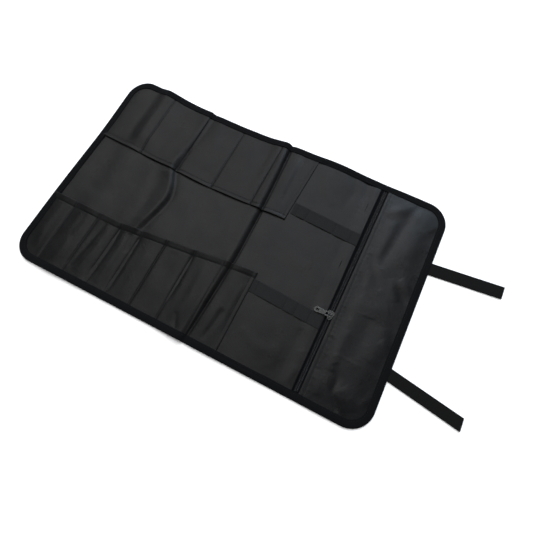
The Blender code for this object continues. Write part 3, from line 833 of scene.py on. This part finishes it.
def pale_floor():
    finish = Finish("floor_paint", 0.9, 0.1)
    where = finish.add("ShaderNodeTexCoord").outputs["Object"]
    tone = finish.noise(6.0, 3.0, where)
    finish.set(Base_Color=finish.ramp(tone, [(0.2, (0.93, 0.93, 0.93)), (0.8, (0.95, 0.95, 0.95))]))
    return finish.material


LINING = woven_nylon("lining_nylon", (0.0058, 0.0058, 0.0059), 0.35, 0.02, 0.085)
POCKET = woven_nylon("pocket_nylon", (0.0050, 0.0050, 0.0051), 0.34, 0.02, 0.077)
FRONT = woven_nylon("front_nylon", (0.0046, 0.0047, 0.0050), 0.32, 0.02, 0.099)
OUTER = woven_nylon("outer_nylon", (0.0060, 0.0061, 0.0063), 0.50, 0.02, 0.12)
GROSGRAIN = ribbed_tape("binding_grosgrain", (0.0023, 0.0025, 0.0029), 1.15 * MM, sheen=0.012)
BAND = ribbed_tape("band_elastic", (0.0094, 0.0095, 0.0094), 0.75 * MM, 1, 0.85, 0.10, 0.03)
STRAP = ribbed_tape("strap_elastic", (0.0046, 0.0046, 0.0045), 0.80 * MM, 1, 0.85, 0.16, 0.01)
# The zip tape is near-black, and is set darker than the other cloth so that the strips of it seen beside
# the coil stand for the shade in those gaps: partly painted shade.
TAPE = ribbed_tape("zip_tape_weave", (0.0009, 0.0011, 0.0016), 0.60 * MM, 0, 0.85, 0.08, 0.0)
COIL = moulded_nylon("coil_nylon", (0.0050, 0.0058, 0.0080))
METAL = dark_metal("dark_nickel", (0.0210, 0.0214, 0.0214), 0.31)
THREAD = thread("black_thread", (0.0030, 0.0031, 0.0034))


# ---------------- the mat and its pockets


def plan_grid(xs, low, high, shares):
    """A plan grid whose lines across run from low(x) to high(x) at the given shares of the way."""
    x = np.repeat(xs[:, None], len(shares), 1)
    low, high = np.broadcast_to(low(x), x.shape), np.broadcast_to(high(x), x.shape)
    return x, low + (high - low) * np.asarray(shares)[None, :]


def from_near(inset):
    """The mat's near edge as a function of x, moved inwards by inset."""
    return lambda x: outline_low(x, inset)


def from_far(inset):
    return lambda x: MAT_WIDTH - outline_low(x, inset)


def even(count):
    return np.linspace(0, 1, count)


def make_panels():
    """Outer cloth, stiffener and lining, sewn together under the binding."""
    for number, (left, right) in enumerate(SPANS, 1):
        low = max(left, PANEL_INSET)
        high = min(right, MAT_LENGTH - PANEL_INSET)
        xs = stations(low, high, 1.7, CREASE_STATIONS)
        x, y = plan_grid(xs, from_near(PANEL_INSET), from_far(PANEL_INSET), even(160))
        bottom = rise(x, y) + 0.35 - 0.25 * smooth(edge_distance(x, y), 9, 13)
        obj = sheet_object(f"mat_cloth_{number}", x, y, panel_top(x, y), bottom, LINING)
        paint_underside(obj, bottom.size)
        finish_piece(obj, number, near_sections(number, "back_panel"))


def paint_underside(obj, count):
    """Gives the faces of the second height grid the outer cloth."""
    obj.data.materials.append(OUTER)
    for polygon in obj.data.polygons:
        if all(count <= vertex < 2 * count for vertex in polygon.vertices):
            polygon.material_index = 1


def across_pocket(depth, hem):
    """Shares of the way from a pocket's free edge to its bound edge, closer together at the hem."""
    return stations(0, depth, 2.1, [0.0, hem], (-1.6, -0.8, 0.0, 0.6, 1.2, 2.0)) / depth


def hem_thickness(inward, hem):
    """One layer of cloth, or two where the free edge is folded under."""
    return LAYER + TURNED_UNDER * smooth(hem + 1 - inward, 0, 1.5)


def make_far_pockets():
    """The far strip, sewn to the mat between pockets, its right end folded under at a slant."""
    depth = MAT_WIDTH - FAR_FREE_EDGE
    shares = across_pocket(depth, FAR_HEM)
    for number, (left, right) in enumerate(SPANS, 1):
        if left > FAR_END[1]:
            break
        low = max(left, POCKET_INSET)
        last = right > FAR_END[1]
        if last:
            end = FAR_END[0] + (FAR_END[1] - FAR_END[0]) * shares[None, :]
            run = FAR_END[0] - low
            t = stations(0, run, 1.6, [run - HEM], CLOSE_BESIDE)[:, None] / run
            x = low + (end - low) * t
            y = far_mouth(x) + (MAT_WIDTH - POCKET_INSET - far_mouth(x)) * shares[None, :]
        else:
            xs = stations(low, right, 1.8, FAR_SEAMS + CREASE_STATIONS)
            x, y = plan_grid(xs, far_mouth, from_far(POCKET_INSET), shares)
        top = far_top(x, y)
        bottom = top - hem_thickness(y - far_mouth(x), FAR_HEM)
        obj = sheet_object(f"far_pockets_{number}", x, y, top, bottom, POCKET, (0, last, 1, 0))
        finish_piece(obj, number, near_sections(number, "far_pocket_strip"))
        declare(min(right, FAR_END[1]) - left, depth, number)


def make_near_pockets():
    shares = 1 - across_pocket(NEAR_MOUTH_Y[0], NEAR_HEM)[::-1]
    for number, (left, right) in enumerate(SPANS, 1):
        if left > NEAR_END:
            break
        low, high = max(left, POCKET_INSET), min(right, NEAR_END)
        xs = stations(low, high, 1.7, NEAR_SEAMS + [NEAR_END - HEM] + CREASE_STATIONS)
        x, y = plan_grid(xs, from_near(POCKET_INSET), near_mouth, shares)
        top = near_top(x, y)
        bottom = top - hem_thickness(near_mouth(x) - y, NEAR_HEM)
        rounded = (0, right > NEAR_END, 0, 1)
        obj = sheet_object(f"near_pockets_{number}", x, y, top, bottom, POCKET, rounded)
        finish_piece(obj, number, near_sections(number, "near_pocket_strip"))
        declare(high - low, float(near_mouth(0.5 * (low + high))), number)


def make_band(side, start):
    """One elastic band, from under the pocket strip's hem to the zip's folded facing."""
    width = BAND_Y[side][1] - BAND_Y[side][0]
    join = SPANS[6][1]
    for left, right, number in ((start, join, 7), (join, FACING_EDGE - 1.5, 8)):
        xs = stations(left, right, 1.6, TACKS[side], CLOSE_BESIDE)
        low, high = (lambda v, s=s: band_centre(v, side) + s * width / 2 for s in (-1, 1))
        x, y = plan_grid(xs, low, high, even(17))
        top = band_top(x, y, side)
        rounded = (0, number == 8, 1, 1)
        obj = sheet_object(f"{side}_band_{number}", x, y, top, top - BAND_THICKNESS, BAND, rounded)
        finish_piece(obj, number, [f"{side}_elastic_band_{number + 1}"])
        declare(right - left, width, number)


def make_facing():
    """The lining, folded back on itself along the zip, over the left tape."""
    xs = stations(FACING_EDGE - FACING_WIDTH, FACING_EDGE, 1.1)
    x, y = plan_grid(xs, lambda v: 6, lambda v: MAT_WIDTH - 6, even(190))
    x = x - 1.7 * smooth(y, 90, 300) * smooth(x, FACING_EDGE - 20, FACING_EDGE)
    top = facing_top(x, y)
    bottom = np.minimum(np.maximum(top - 0.5, panel_top(x, y) - 0.3), top - 0.08)
    obj = sheet_object("zip_facing_fold", x, y, top, bottom, LINING, (0, 1, 0, 0))
    finish_zip_piece(obj, "panel_cloth", "zip_facing")
    declare(FACING_WIDTH, MAT_WIDTH, 9)


def make_front():
    xs = stations(FRONT_EDGE, MAT_LENGTH - POCKET_INSET, 1.3)
    x, y = plan_grid(xs, from_near(POCKET_INSET), from_far(POCKET_INSET), even(240))
    x = x - 1.2 * smooth(FRONT_EDGE + 16 - x, 0, 16)
    top = front_top(x, y)
    bottom = top - LAYER - TURNED_UNDER * smooth(FRONT_EDGE + FRONT_SEAM + 1 - x, 0, 1.5)
    obj = sheet_object("zip_pocket_cloth", x, y, top, bottom, FRONT, (1, 0, 0, 0))
    finish_piece(obj, 9, ["zip_pocket_front_9", "zip_pocket_front_10"])
    declare(MAT_LENGTH - FRONT_EDGE, MAT_WIDTH, 9)


# ---------------- binding

# The folded tape's section: distance inwards from the mat's edge, and height.
TAPE_OUTSIDE = [
    (10.8, 0.10), (8.0, 0.0), (4.5, 0.0), (2.0, 0.15), (0.7, 0.7), (0.1, 1.5), (0.0, 2.2), (0.35, 3.0),
    (1.2, 3.65), (2.6, 4.0), (4.6, 4.05), (6.6, 3.9), (8.0, 3.62), (8.7, 3.42), (9.3, 3.5), (10.3, 3.5),
    (10.9, 3.3),
]
TAPE_INSIDE = [
    (11.05, 2.9), (10.6, 2.75), (8.6, 2.85), (5.0, 3.2), (2.2, 3.0), (1.1, 2.2), (2.2, 0.9), (10.4, 0.55),
]
TAPE_HEIGHT = 4.0
# The line of stitches along the tape: its distance from the edge and its pitch.
TAPE_SEAM = 8.7
TAPE_STITCH = 3.2


def edge_line(step):
    """Stations round the mat's edge, anticlockwise from its near right corner, some on the cut lines.

    Each is a plan point, the direction inwards and the length travelled.
    """
    r = CORNER_RADIUS
    corners = [
        ((MAT_LENGTH - r, r), -pi / 2), ((MAT_LENGTH - r, MAT_WIDTH - r), 0.0),
        ((r, MAT_WIDTH - r), pi / 2), ((r, r), pi),
    ]
    found = []
    travelled = 0.0
    last = None
    for k, (centre, start) in enumerate(corners):
        for angle in np.linspace(start, start + pi / 2, 27):
            outward = np.array([cos(angle), sin(angle)])
            point = centre + r * outward
            if last is not None:
                travelled += np.hypot(*(point - last))
            last = point
            found.append((point, -outward, travelled))
        centre, start = corners[(k + 1) % 4]
        goal = np.array([centre[0] + r * cos(start), centre[1] + r * sin(start)])
        run = goal - last
        length = np.hypot(*run)
        passed = [c for c in CUTS if min(last[0], goal[0]) + 1 < c < max(last[0], goal[0]) - 1]
        shares = [abs(c - last[0]) / length for c in passed]
        for share in stations(0, 1, step / length, shares, (0.0,))[1:-1]:
            found.append((last + run * share, -outward, travelled + length * share))
        travelled += length
        last = goal
    return found


def pocket_under(x, y):
    """1 where a pocket's cloth runs in under the binding, 0 where only the lining does."""
    far = smooth(y, FAR_FREE_EDGE - 7, FAR_FREE_EDGE - 2) * smooth(FAR_END[1] + 7 - x, 0, 5)
    near = smooth(near_mouth(x) + 7 - y, 0, 5) * smooth(NEAR_END + 7 - x, 0, 5)
    front = smooth(x, FACING_EDGE - 36, FACING_EDGE - 28)
    return np.maximum(np.maximum(far, near), front)


def binding_height(x, y, inset, along):
    """How far the tape moves with the mat, and what its upper layer adds: sag, puckers and slack."""
    move = rise(x, y)
    sag = -1.08 * (1 - pocket_under(x, y)) * smooth(inset, 4.5, 9.0)
    stitched = 0.10 * np.sin(along * 2 * pi / TAPE_STITCH) * hump(inset, TAPE_SEAM, 1.6)
    to_end, to_side = np.minimum(x, MAT_LENGTH - x), np.minimum(y, MAT_WIDTH - y)
    corner = np.maximum(to_end, to_side) < CORNER_RADIUS
    pucker = 0.22 * np.sin(along * 2 * pi / 6.1) * smooth(inset, 4, 9) * corner
    loose = 0.14 * noise(along, inset * 0.4, 9, 61) * smooth(inset, 0, 3)
    return move, sag + stitched + pucker + loose


def make_binding():
    """The folded tape, as one closed section per station, cut into the mat's lengths."""
    profile = np.array(TAPE_OUTSIDE + TAPE_INSIDE)
    count = len(profile)
    top_share = np.clip(profile[:, 1] / TAPE_HEIGHT, 0, 1)
    girth = np.concatenate([[0], np.cumsum(np.hypot(*np.diff(profile, axis=0).T))])
    sections = []
    for point, inward, along in edge_line(2.0):
        sway = 0.35 * float(noise(np.array(along), np.array(3.0), 34, 71))
        sway = sway + 0.12 * sin(along * 2 * pi / TAPE_STITCH)
        inset = profile[:, 0] + sway * smooth(profile[:, 0], 7, 10.5)
        x, y = point[:, None] + inward[:, None] * inset
        along = np.full(count, along)
        move, fine = binding_height(x, y, inset, along)
        points = place(x, y, profile[:, 1] + move + fine * top_share)
        sections.append((point[0], points, np.stack([along, girth], -1) * MM))
    for number, (left, right) in enumerate(SPANS, 1):
        make_binding_length(number, left, right, sections)


def make_binding_length(number, left, right, sections):
    """The stretches of tape between two cut lines, each closed at its cut ends."""
    total, count = len(sections), len(sections[0][1])
    after = lambda k: (k + 1) % total
    inside = [left - 1e-3 <= middle <= right + 1e-3 for middle, points, uvs in sections]
    steps = [k for k in range(total) if inside[k] and inside[after(k)]]
    used = sorted(set(steps) | {after(k) for k in steps})
    where = {k: n * count for n, k in enumerate(used)}
    faces = []
    for k in steps:
        a, b = where[k], where[after(k)]
        faces += [[a + j, a + (j + 1) % count, b + (j + 1) % count, b + j] for j in range(count)]
    crisp = []
    for k in used:
        rim = [where[k] + j for j in range(count)]
        closed = [rim] * (k not in steps) + [rim[::-1]] * ((k - 1) % total not in steps)
        faces += closed
        crisp += rim if closed else []
    points, uvs = (np.vstack([sections[k][part] for k in used]) for part in (1, 2))
    obj = make_object(f"binding_{number}", points, faces, uvs, GROSGRAIN, crisp)
    nodes = [f"binding_near_{number}", f"binding_far_{number}"]
    nodes += {1: ["binding_left_end"], 9: ["binding_right_end"]}.get(number, [])
    finish_piece(obj, number, nodes)
    run = sum(float(np.hypot(*(sections[k][1][0] - sections[after(k)][1][0])[:2])) for k in steps)
    around = float(np.sum(np.linalg.norm(np.diff(sections[steps[0]][1], axis=0), axis=1)))


# ---------------- zip

COIL_PITCH = 1.55
FILAMENT = 0.34
# One turn of the coil: distance from the zip's middle, place along it, height and thickness.
COIL_TURN = [
    (2.40, -0.34, 2.72, 0.8), (2.60, -0.20, 3.02, 1.0), (2.15, -0.08, 3.36, 1.0), (1.50, 0.06, 3.40, 1.0),
    (0.95, 0.16, 3.34, 1.12), (0.62, 0.22, 3.10, 1.18), (0.70, 0.28, 2.80, 1.0), (1.50, 0.34, 2.70, 0.8),
]
# The rows of chain stitch beside each coil: distance from the zip's middle and height.
COIL_SEAMS = [(1.9, 3.66), (3.3, TAPE_TOP + 0.12)]
# The side of each row of the zip, and which way it lies from the zip's middle.
ROWS = {"left": -1, "right": 1}


def make_tapes():
    """The two woven tapes under the coils."""
    for side in ROWS:
        low, high = x_extent(f"zip_tape_{side}")
        xs = stations(low, high, 1.5)
        x, y = plan_grid(xs, lambda v: TAPE_END, lambda v: MAT_WIDTH - TAPE_END, even(120))
        top = TAPE_TOP + rise(x, y) + 0.05 * noise(x, y, 8, 81)
        obj = sheet_object(f"zip_tape_cloth_{side}", x, y, top, top - 0.4, TAPE, (1, 1, 0, 0))
        finish_zip_piece(obj, "zip_tape", f"zip_tape_{side}")
        declare(high - low, MAT_WIDTH - 2 * TAPE_END, 9)


def tube(path, radius, sides=6):
    """Points and faces of a round tube with closed ends along a path of points."""
    path = np.asarray(path, float)
    tangent = np.gradient(path, axis=0)
    tangent /= np.linalg.norm(tangent, axis=1, keepdims=True)
    across = np.cross(tangent, [0.0, 0.0, 1.0])
    across /= np.linalg.norm(across, axis=1, keepdims=True) + 1e-12
    up = np.cross(across, tangent)
    angles = (np.arange(sides) * 2 * pi / sides)[None, :, None]
    ring = across[:, None] * np.cos(angles) + up[:, None] * np.sin(angles)
    points = (path[:, None] + ring * np.asarray(radius)[:, None, None]).reshape(-1, 3)
    first = list(range(sides))
    last = [(len(path) - 1) * sides + j for j in first]
    return points, ring_faces(len(path), sides) + [first[::-1], last]


class Batch:
    """Gathers many small closed shapes into one mesh."""

    def __init__(self):
        self.points, self.faces, self.uvs, self.count = [], [], [], 0

    def add(self, points, faces, uvs):
        self.faces += [[index + self.count for index in face] for face in faces]
        self.points.append(points)
        self.uvs.append(uvs)
        self.count += len(points)

    def add_tube(self, path, radius, sides):
        """A tube along a path given in mat millimetres."""
        points, faces = tube(path, radius, sides)
        self.add(place(*points.T), faces, points[:, :2] * MM)

    def build(self, name, material):
        points, uvs = np.vstack(self.points), np.vstack(self.uvs)
        return make_object(name, points, self.faces, uvs, material)


def make_coils():
    """Each row is a flattened coil: slanting turns whose heads reach towards the other row."""
    for side, sign in ROWS.items():
        batch = Batch()
        for turn in range(int((COIL_ENDS[1] - COIL_ENDS[0]) / COIL_PITCH)):
            y = COIL_ENDS[0] + (turn + 0.5 + 0.25 * sign) * COIL_PITCH
            lift = float(rise(ZIP_CENTRE, y))
            path = [(ZIP_CENTRE + sign * a, y + b * 1.5, c + lift) for a, b, c, thick in COIL_TURN]
            batch.add_tube(path, [FILAMENT * thick for a, b, c, thick in COIL_TURN], 7)
        obj = batch.build(f"zip_coil_turns_{side}", COIL)
        finish_zip_piece(obj, "zip_coil", f"zip_coil_{side}")


def make_coil_stitches():
    """The rows of chain stitch that hold each coil to its tape."""
    for side, sign in ROWS.items():
        batch = Batch()
        for offset, height in COIL_SEAMS:
            x = ZIP_CENTRE + sign * offset
            for y in np.arange(COIL_ENDS[0] + 1, COIL_ENDS[1] - 1, 2.2):
                base = height + float(rise(x, y))
                shares = (0, 0.2, 0.5, 0.8, 1.0)
                path = [(x, y + t * 2.1, base - 0.12 * abs(2 * t - 1) ** 2) for t in shares]
                batch.add_tube(path, [0.10, 0.17, 0.2, 0.17, 0.10], 5)
        obj = batch.build(f"zip_stitches_{side}", THREAD)
        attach(obj, "section_9")


# ---------------- slider and pull


def soften(obj, width):
    modifier = obj.modifiers.new("worn_edges", "BEVEL")
    modifier.width = width
    modifier.segments = 3
    modifier.limit_method = "ANGLE"
    modifier.angle_limit = radians(35)


def finish_slider():
    """The slider and its pull keep their CAD shapes, with worn edges. The wire link is round already."""
    for name, width in (("zip_slider", 0.35 * MM), ("zip_pull_tab", 0.30 * MM), ("zip_pull_link", 0.0)):
        node = frame["nodes"][name]
        node.data.materials.clear()
        node.data.materials.append(METAL)
        if width:
            soften(node, width)
        else:
            node.data.polygons.foreach_set("use_smooth", np.ones(len(node.data.polygons), bool))


# ---------------- stitches


STITCH_PITCH = 3.1
STITCH_LENGTH = 2.3
# One stitch: share of its length, height over the cloth and radius.
STITCH = np.array([
    (0.0, -0.18, 0.12), (0.18, 0.04, 0.216), (0.5, 0.12, 0.24), (0.82, 0.04, 0.216), (1.0, -0.18, 0.12),
]).T


def stitch_paths(points, surface):
    """Lays single stitches along a line of plan points on a surface."""
    line = np.asarray(points, float)
    reach = np.concatenate([[0], np.cumsum(np.hypot(*np.diff(line, axis=0).T))])
    for start in np.arange(0.4, reach[-1] - STITCH_LENGTH, STITCH_PITCH):
        at = start + STITCH_LENGTH * STITCH[0]
        x, y = (np.interp(at, reach, line[:, axis]) for axis in (0, 1))
        yield np.stack([x, y, surface(x, y) + STITCH[1]], -1)


def straight(a, b, steps=60):
    return np.linspace(a, b, steps)


def stitch_lines():
    """Every line of stitches, with the surface that it lies on."""
    edge = [point + inward * TAPE_SEAM for point, inward, along in edge_line(3.0)]
    yield edge, lambda x, y: 3.5 + rise(x, y)
    far_end, near_end = MAT_WIDTH - 10, 10
    xs = np.linspace(12, FAR_END[0] - 1, 200)
    yield np.stack([xs, far_mouth(xs) + FAR_HEM], -1), far_top
    ends = [(seam, seam) for seam in FAR_SEAMS] + [(FAR_END[0] - HEM, FAR_END[1] - HEM)]
    for mouth_x, bound_x in ends:
        yield straight((mouth_x, FAR_FREE_EDGE + 1), (bound_x, far_end)), far_top
    xs = np.linspace(12, NEAR_END - 1, 200)
    yield np.stack([xs, near_mouth(xs) - NEAR_HEM], -1), near_top
    for seam in NEAR_SEAMS + [NEAR_END - HEM]:
        yield straight((seam, float(near_mouth(seam)) - 1), (seam, near_end)), near_top
    front_x = FRONT_EDGE + FRONT_SEAM
    yield straight((front_x, near_end), (front_x, far_end), 200), front_top
    for side in ("far", "near"):
        half = (BAND_Y[side][1] - BAND_Y[side][0]) / 2 - 0.8
        for tack in TACKS[side][1:]:
            centre = float(band_centre(tack, side))
            line = straight((tack, centre - half), (tack, centre + half), 12)
            yield line, lambda x, y, side=side: band_top(x, y, side)


def make_stitches():
    batches = {number: Batch() for number in range(1, len(SPANS) + 1)}
    for line, surface in stitch_lines():
        for path in stitch_paths(line, surface):
            number = next(n for n, (low, high) in enumerate(SPANS, 1) if path[2][0] <= high)
            batches[number].add_tube(path, STITCH[2], 6)
    for number, batch in batches.items():
        obj = batch.build(f"stitching_{number}", THREAD)
        bend_over(obj, number)


# ---------------- closure loops


# Each strap's middle line: its Y at the mat's edge and at its tip, and its width.
STRAPS = {"far": (250.0, 262.0, 18.5), "near": (86.0, 70.0, 17.5)}
STRAP_LAYER = 1.1
# How far the two layers part beside the fold at the tip.
STRAP_GAPE = 0.2
# The elastic's rounded section: shares of its width and of its thickness.
STRAP_ACROSS = np.array([-0.5, -0.485, -0.45, -0.3, -0.1, 0.1, 0.3, 0.45, 0.485, 0.5])
STRAP_THICK = np.array([0.35, 0.75, 1, 1, 1, 1, 1, 1, 0.75, 0.35])


def ribbon(path, side):
    """A closed strip of elastic along a path of (x, height) points, as wide as that side's strap."""
    path = np.asarray(path, float)
    root_y, tip_y, width = STRAPS[side]
    tangent = np.gradient(path, axis=0)
    tangent /= np.linalg.norm(tangent, axis=1, keepdims=True)
    along = np.concatenate([[0], np.cumsum(np.hypot(*np.diff(path, axis=0).T))])
    across = np.concatenate([STRAP_ACROSS, STRAP_ACROSS[::-1]])
    half = STRAP_LAYER / 2 * np.concatenate([STRAP_THICK, -STRAP_THICK[::-1]])
    count = len(across)
    tip = x_extent(f"{side}_closure_loop_tip")[1]
    points, uvs = [], []
    for (x, z), (run, climb), far in zip(path, tangent, along):
        middle = root_y + (tip_y - root_y) * (x - MAT_LENGTH) / (tip - MAT_LENGTH)
        y = middle + width * across
        far = np.full(count, far)
        lift = 0.12 * noise(far, y, 16, 91)
        points.append(place(x - climb * half, y, z + run * half + lift))
        uvs.append(np.stack([far, y], -1) * MM)
    faces = ring_faces(len(path), count)
    last = (len(path) - 1) * count
    for j in range(count // 2 - 1):
        cap = [j, count - 1 - j, count - 2 - j, j + 1]
        faces += [cap, [last + index for index in cap[::-1]]]
    return np.vstack(points), faces, np.vstack(uvs)


def make_loop(side):
    """A strap of elastic doubled back on itself: two layers that meet in a fold at the tip."""
    thick = top_of(f"{side}_closure_loop_side")
    fold_x, end_x = x_extent(f"{side}_closure_loop_tip")
    root_x, middle_x = MAT_LENGTH - 2.0, 0.5 * (MAT_LENGTH + fold_x)
    low, high = 0.5 * STRAP_LAYER + 0.15, thick - 0.5 * STRAP_LAYER
    bend = 0.5 * (high + STRAP_GAPE - low)
    turn_x = end_x - bend - STRAP_LAYER / 2
    run = np.linspace(middle_x, turn_x, 42)[:-1]
    path = [(x, low) for x in run]
    path += [(turn_x + bend * sin(a), low + bend - bend * cos(a)) for a in np.linspace(0, pi, 11)]
    path += [(x, high + STRAP_GAPE * float(smooth(x, middle_x + 6, turn_x))) for x in run[::-1]]
    root, tip = Batch(), Batch()
    for height in (low, high):
        root.add(*ribbon([(x, height) for x in np.linspace(root_x, middle_x, 34)], side))
    tip.add(*ribbon(path, side))
    base, turning, turned = "section_10", f"{side}_loop_side", f"{side}_loop_tip"
    lengths = 2 * (middle_x - root_x), 2 * (turn_x - middle_x) + pi * bend
    parts = [
        ("root", "side", root, (base, turning), MAT_LENGTH - 0.8, MAT_LENGTH + 4.0, lengths[0]),
        ("tip", "tip", tip, (turning, turned), fold_x - 5, fold_x + 5, lengths[1]),
    ]
    for name, node, batch, bodies, start, end, long in parts:
        piece = batch.build(f"{side}_strap_{name}", STRAP)
        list(bodies)
        tuple(spot(start, 0, 0))
        tuple(spot(end, 0, 0))
        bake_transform(piece)
        stand_for([f"{side}_closure_loop_{node}"])


# ---------------- floor, light and camera


def make_floor():
    mesh = bpy.data.meshes.new("floor")
    reach = 6.0
    corners = [(-reach, -reach, 0), (reach, -reach, 0), (reach, reach, 0), (-reach, reach, 0)]
    mesh.from_pydata(corners, [], [(0, 1, 2, 3)])
    mesh.materials.append(pale_floor())
    floor = bpy.data.objects.new("floor", mesh)
    COLLECTION.objects.link(floor)
    floor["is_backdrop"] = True


def make_light(name, towards, distance, size, power, colour):
    """A soft rectangular light that faces the middle of the case."""
    lamp = bpy.data.lights.new(name, "AREA")
    lamp.shape = "RECTANGLE"
    lamp.size, lamp.size_y = size
    lamp.energy = power
    lamp.color = colour
    obj = bpy.data.objects.new(name, lamp)
    aim = Vector(towards).normalized()
    obj.location = aim * distance
    obj.rotation_euler = aim.to_track_quat("Z", "Y").to_euler()
    COLLECTION.objects.link(obj)


def make_world(strength):
    world = bpy.data.worlds.new("studio")
    world.use_nodes = True
    background = world.node_tree.nodes["Background"]
    background.inputs["Color"].default_value = (1.0, 1.0, 1.0, 1.0)
    background.inputs["Strength"].default_value = strength
    bpy.context.scene.world = world


def make_camera():
    """Above the near right of the mat, looking down and to the far left, as the photo's view works out."""
    right = Vector((0.8934, 0.4492, -0.0018))
    down = Vector((0.4267, -0.8501, -0.3085))
    forward = Vector((-0.1401, 0.2749, -0.9512))
    data = bpy.data.cameras.new("camera")
    data.lens = 24.63
    data.sensor_width = 36.0
    data.clip_start = 0.01
    camera = bpy.data.objects.new("camera", data)
    turn = Matrix((right, -down, -forward)).transposed().to_4x4()
    camera.matrix_world = Matrix.Translation(spot(421.5, 2.8, 503.4)) @ turn
    COLLECTION.objects.link(camera)
    bpy.context.scene.camera = camera


# ---------------- making it all

make_panels()
make_far_pockets()
make_near_pockets()
make_band("far", 342.0)
make_band("near", 339.0)
make_facing()
make_front()
make_binding()
make_tapes()
make_coils()
make_coil_stitches()
finish_slider()
make_stitches()
make_loop("far")
make_loop("near")

make_floor()
make_light("key", (-0.27, 0.385, 0.88), 2.4, (2.5, 2.5), 86.0, (0.99, 0.99, 1.0))
make_light("window", (0.12, 0.74, 0.66), 2.2, (1.1, 0.6), 22.0, (0.66, 0.82, 1.0))
make_world(0.30)
make_camera()
bpy.context.scene.view_settings.view_transform = "Standard"

VISUAL_BOX = [list(corner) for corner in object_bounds()]
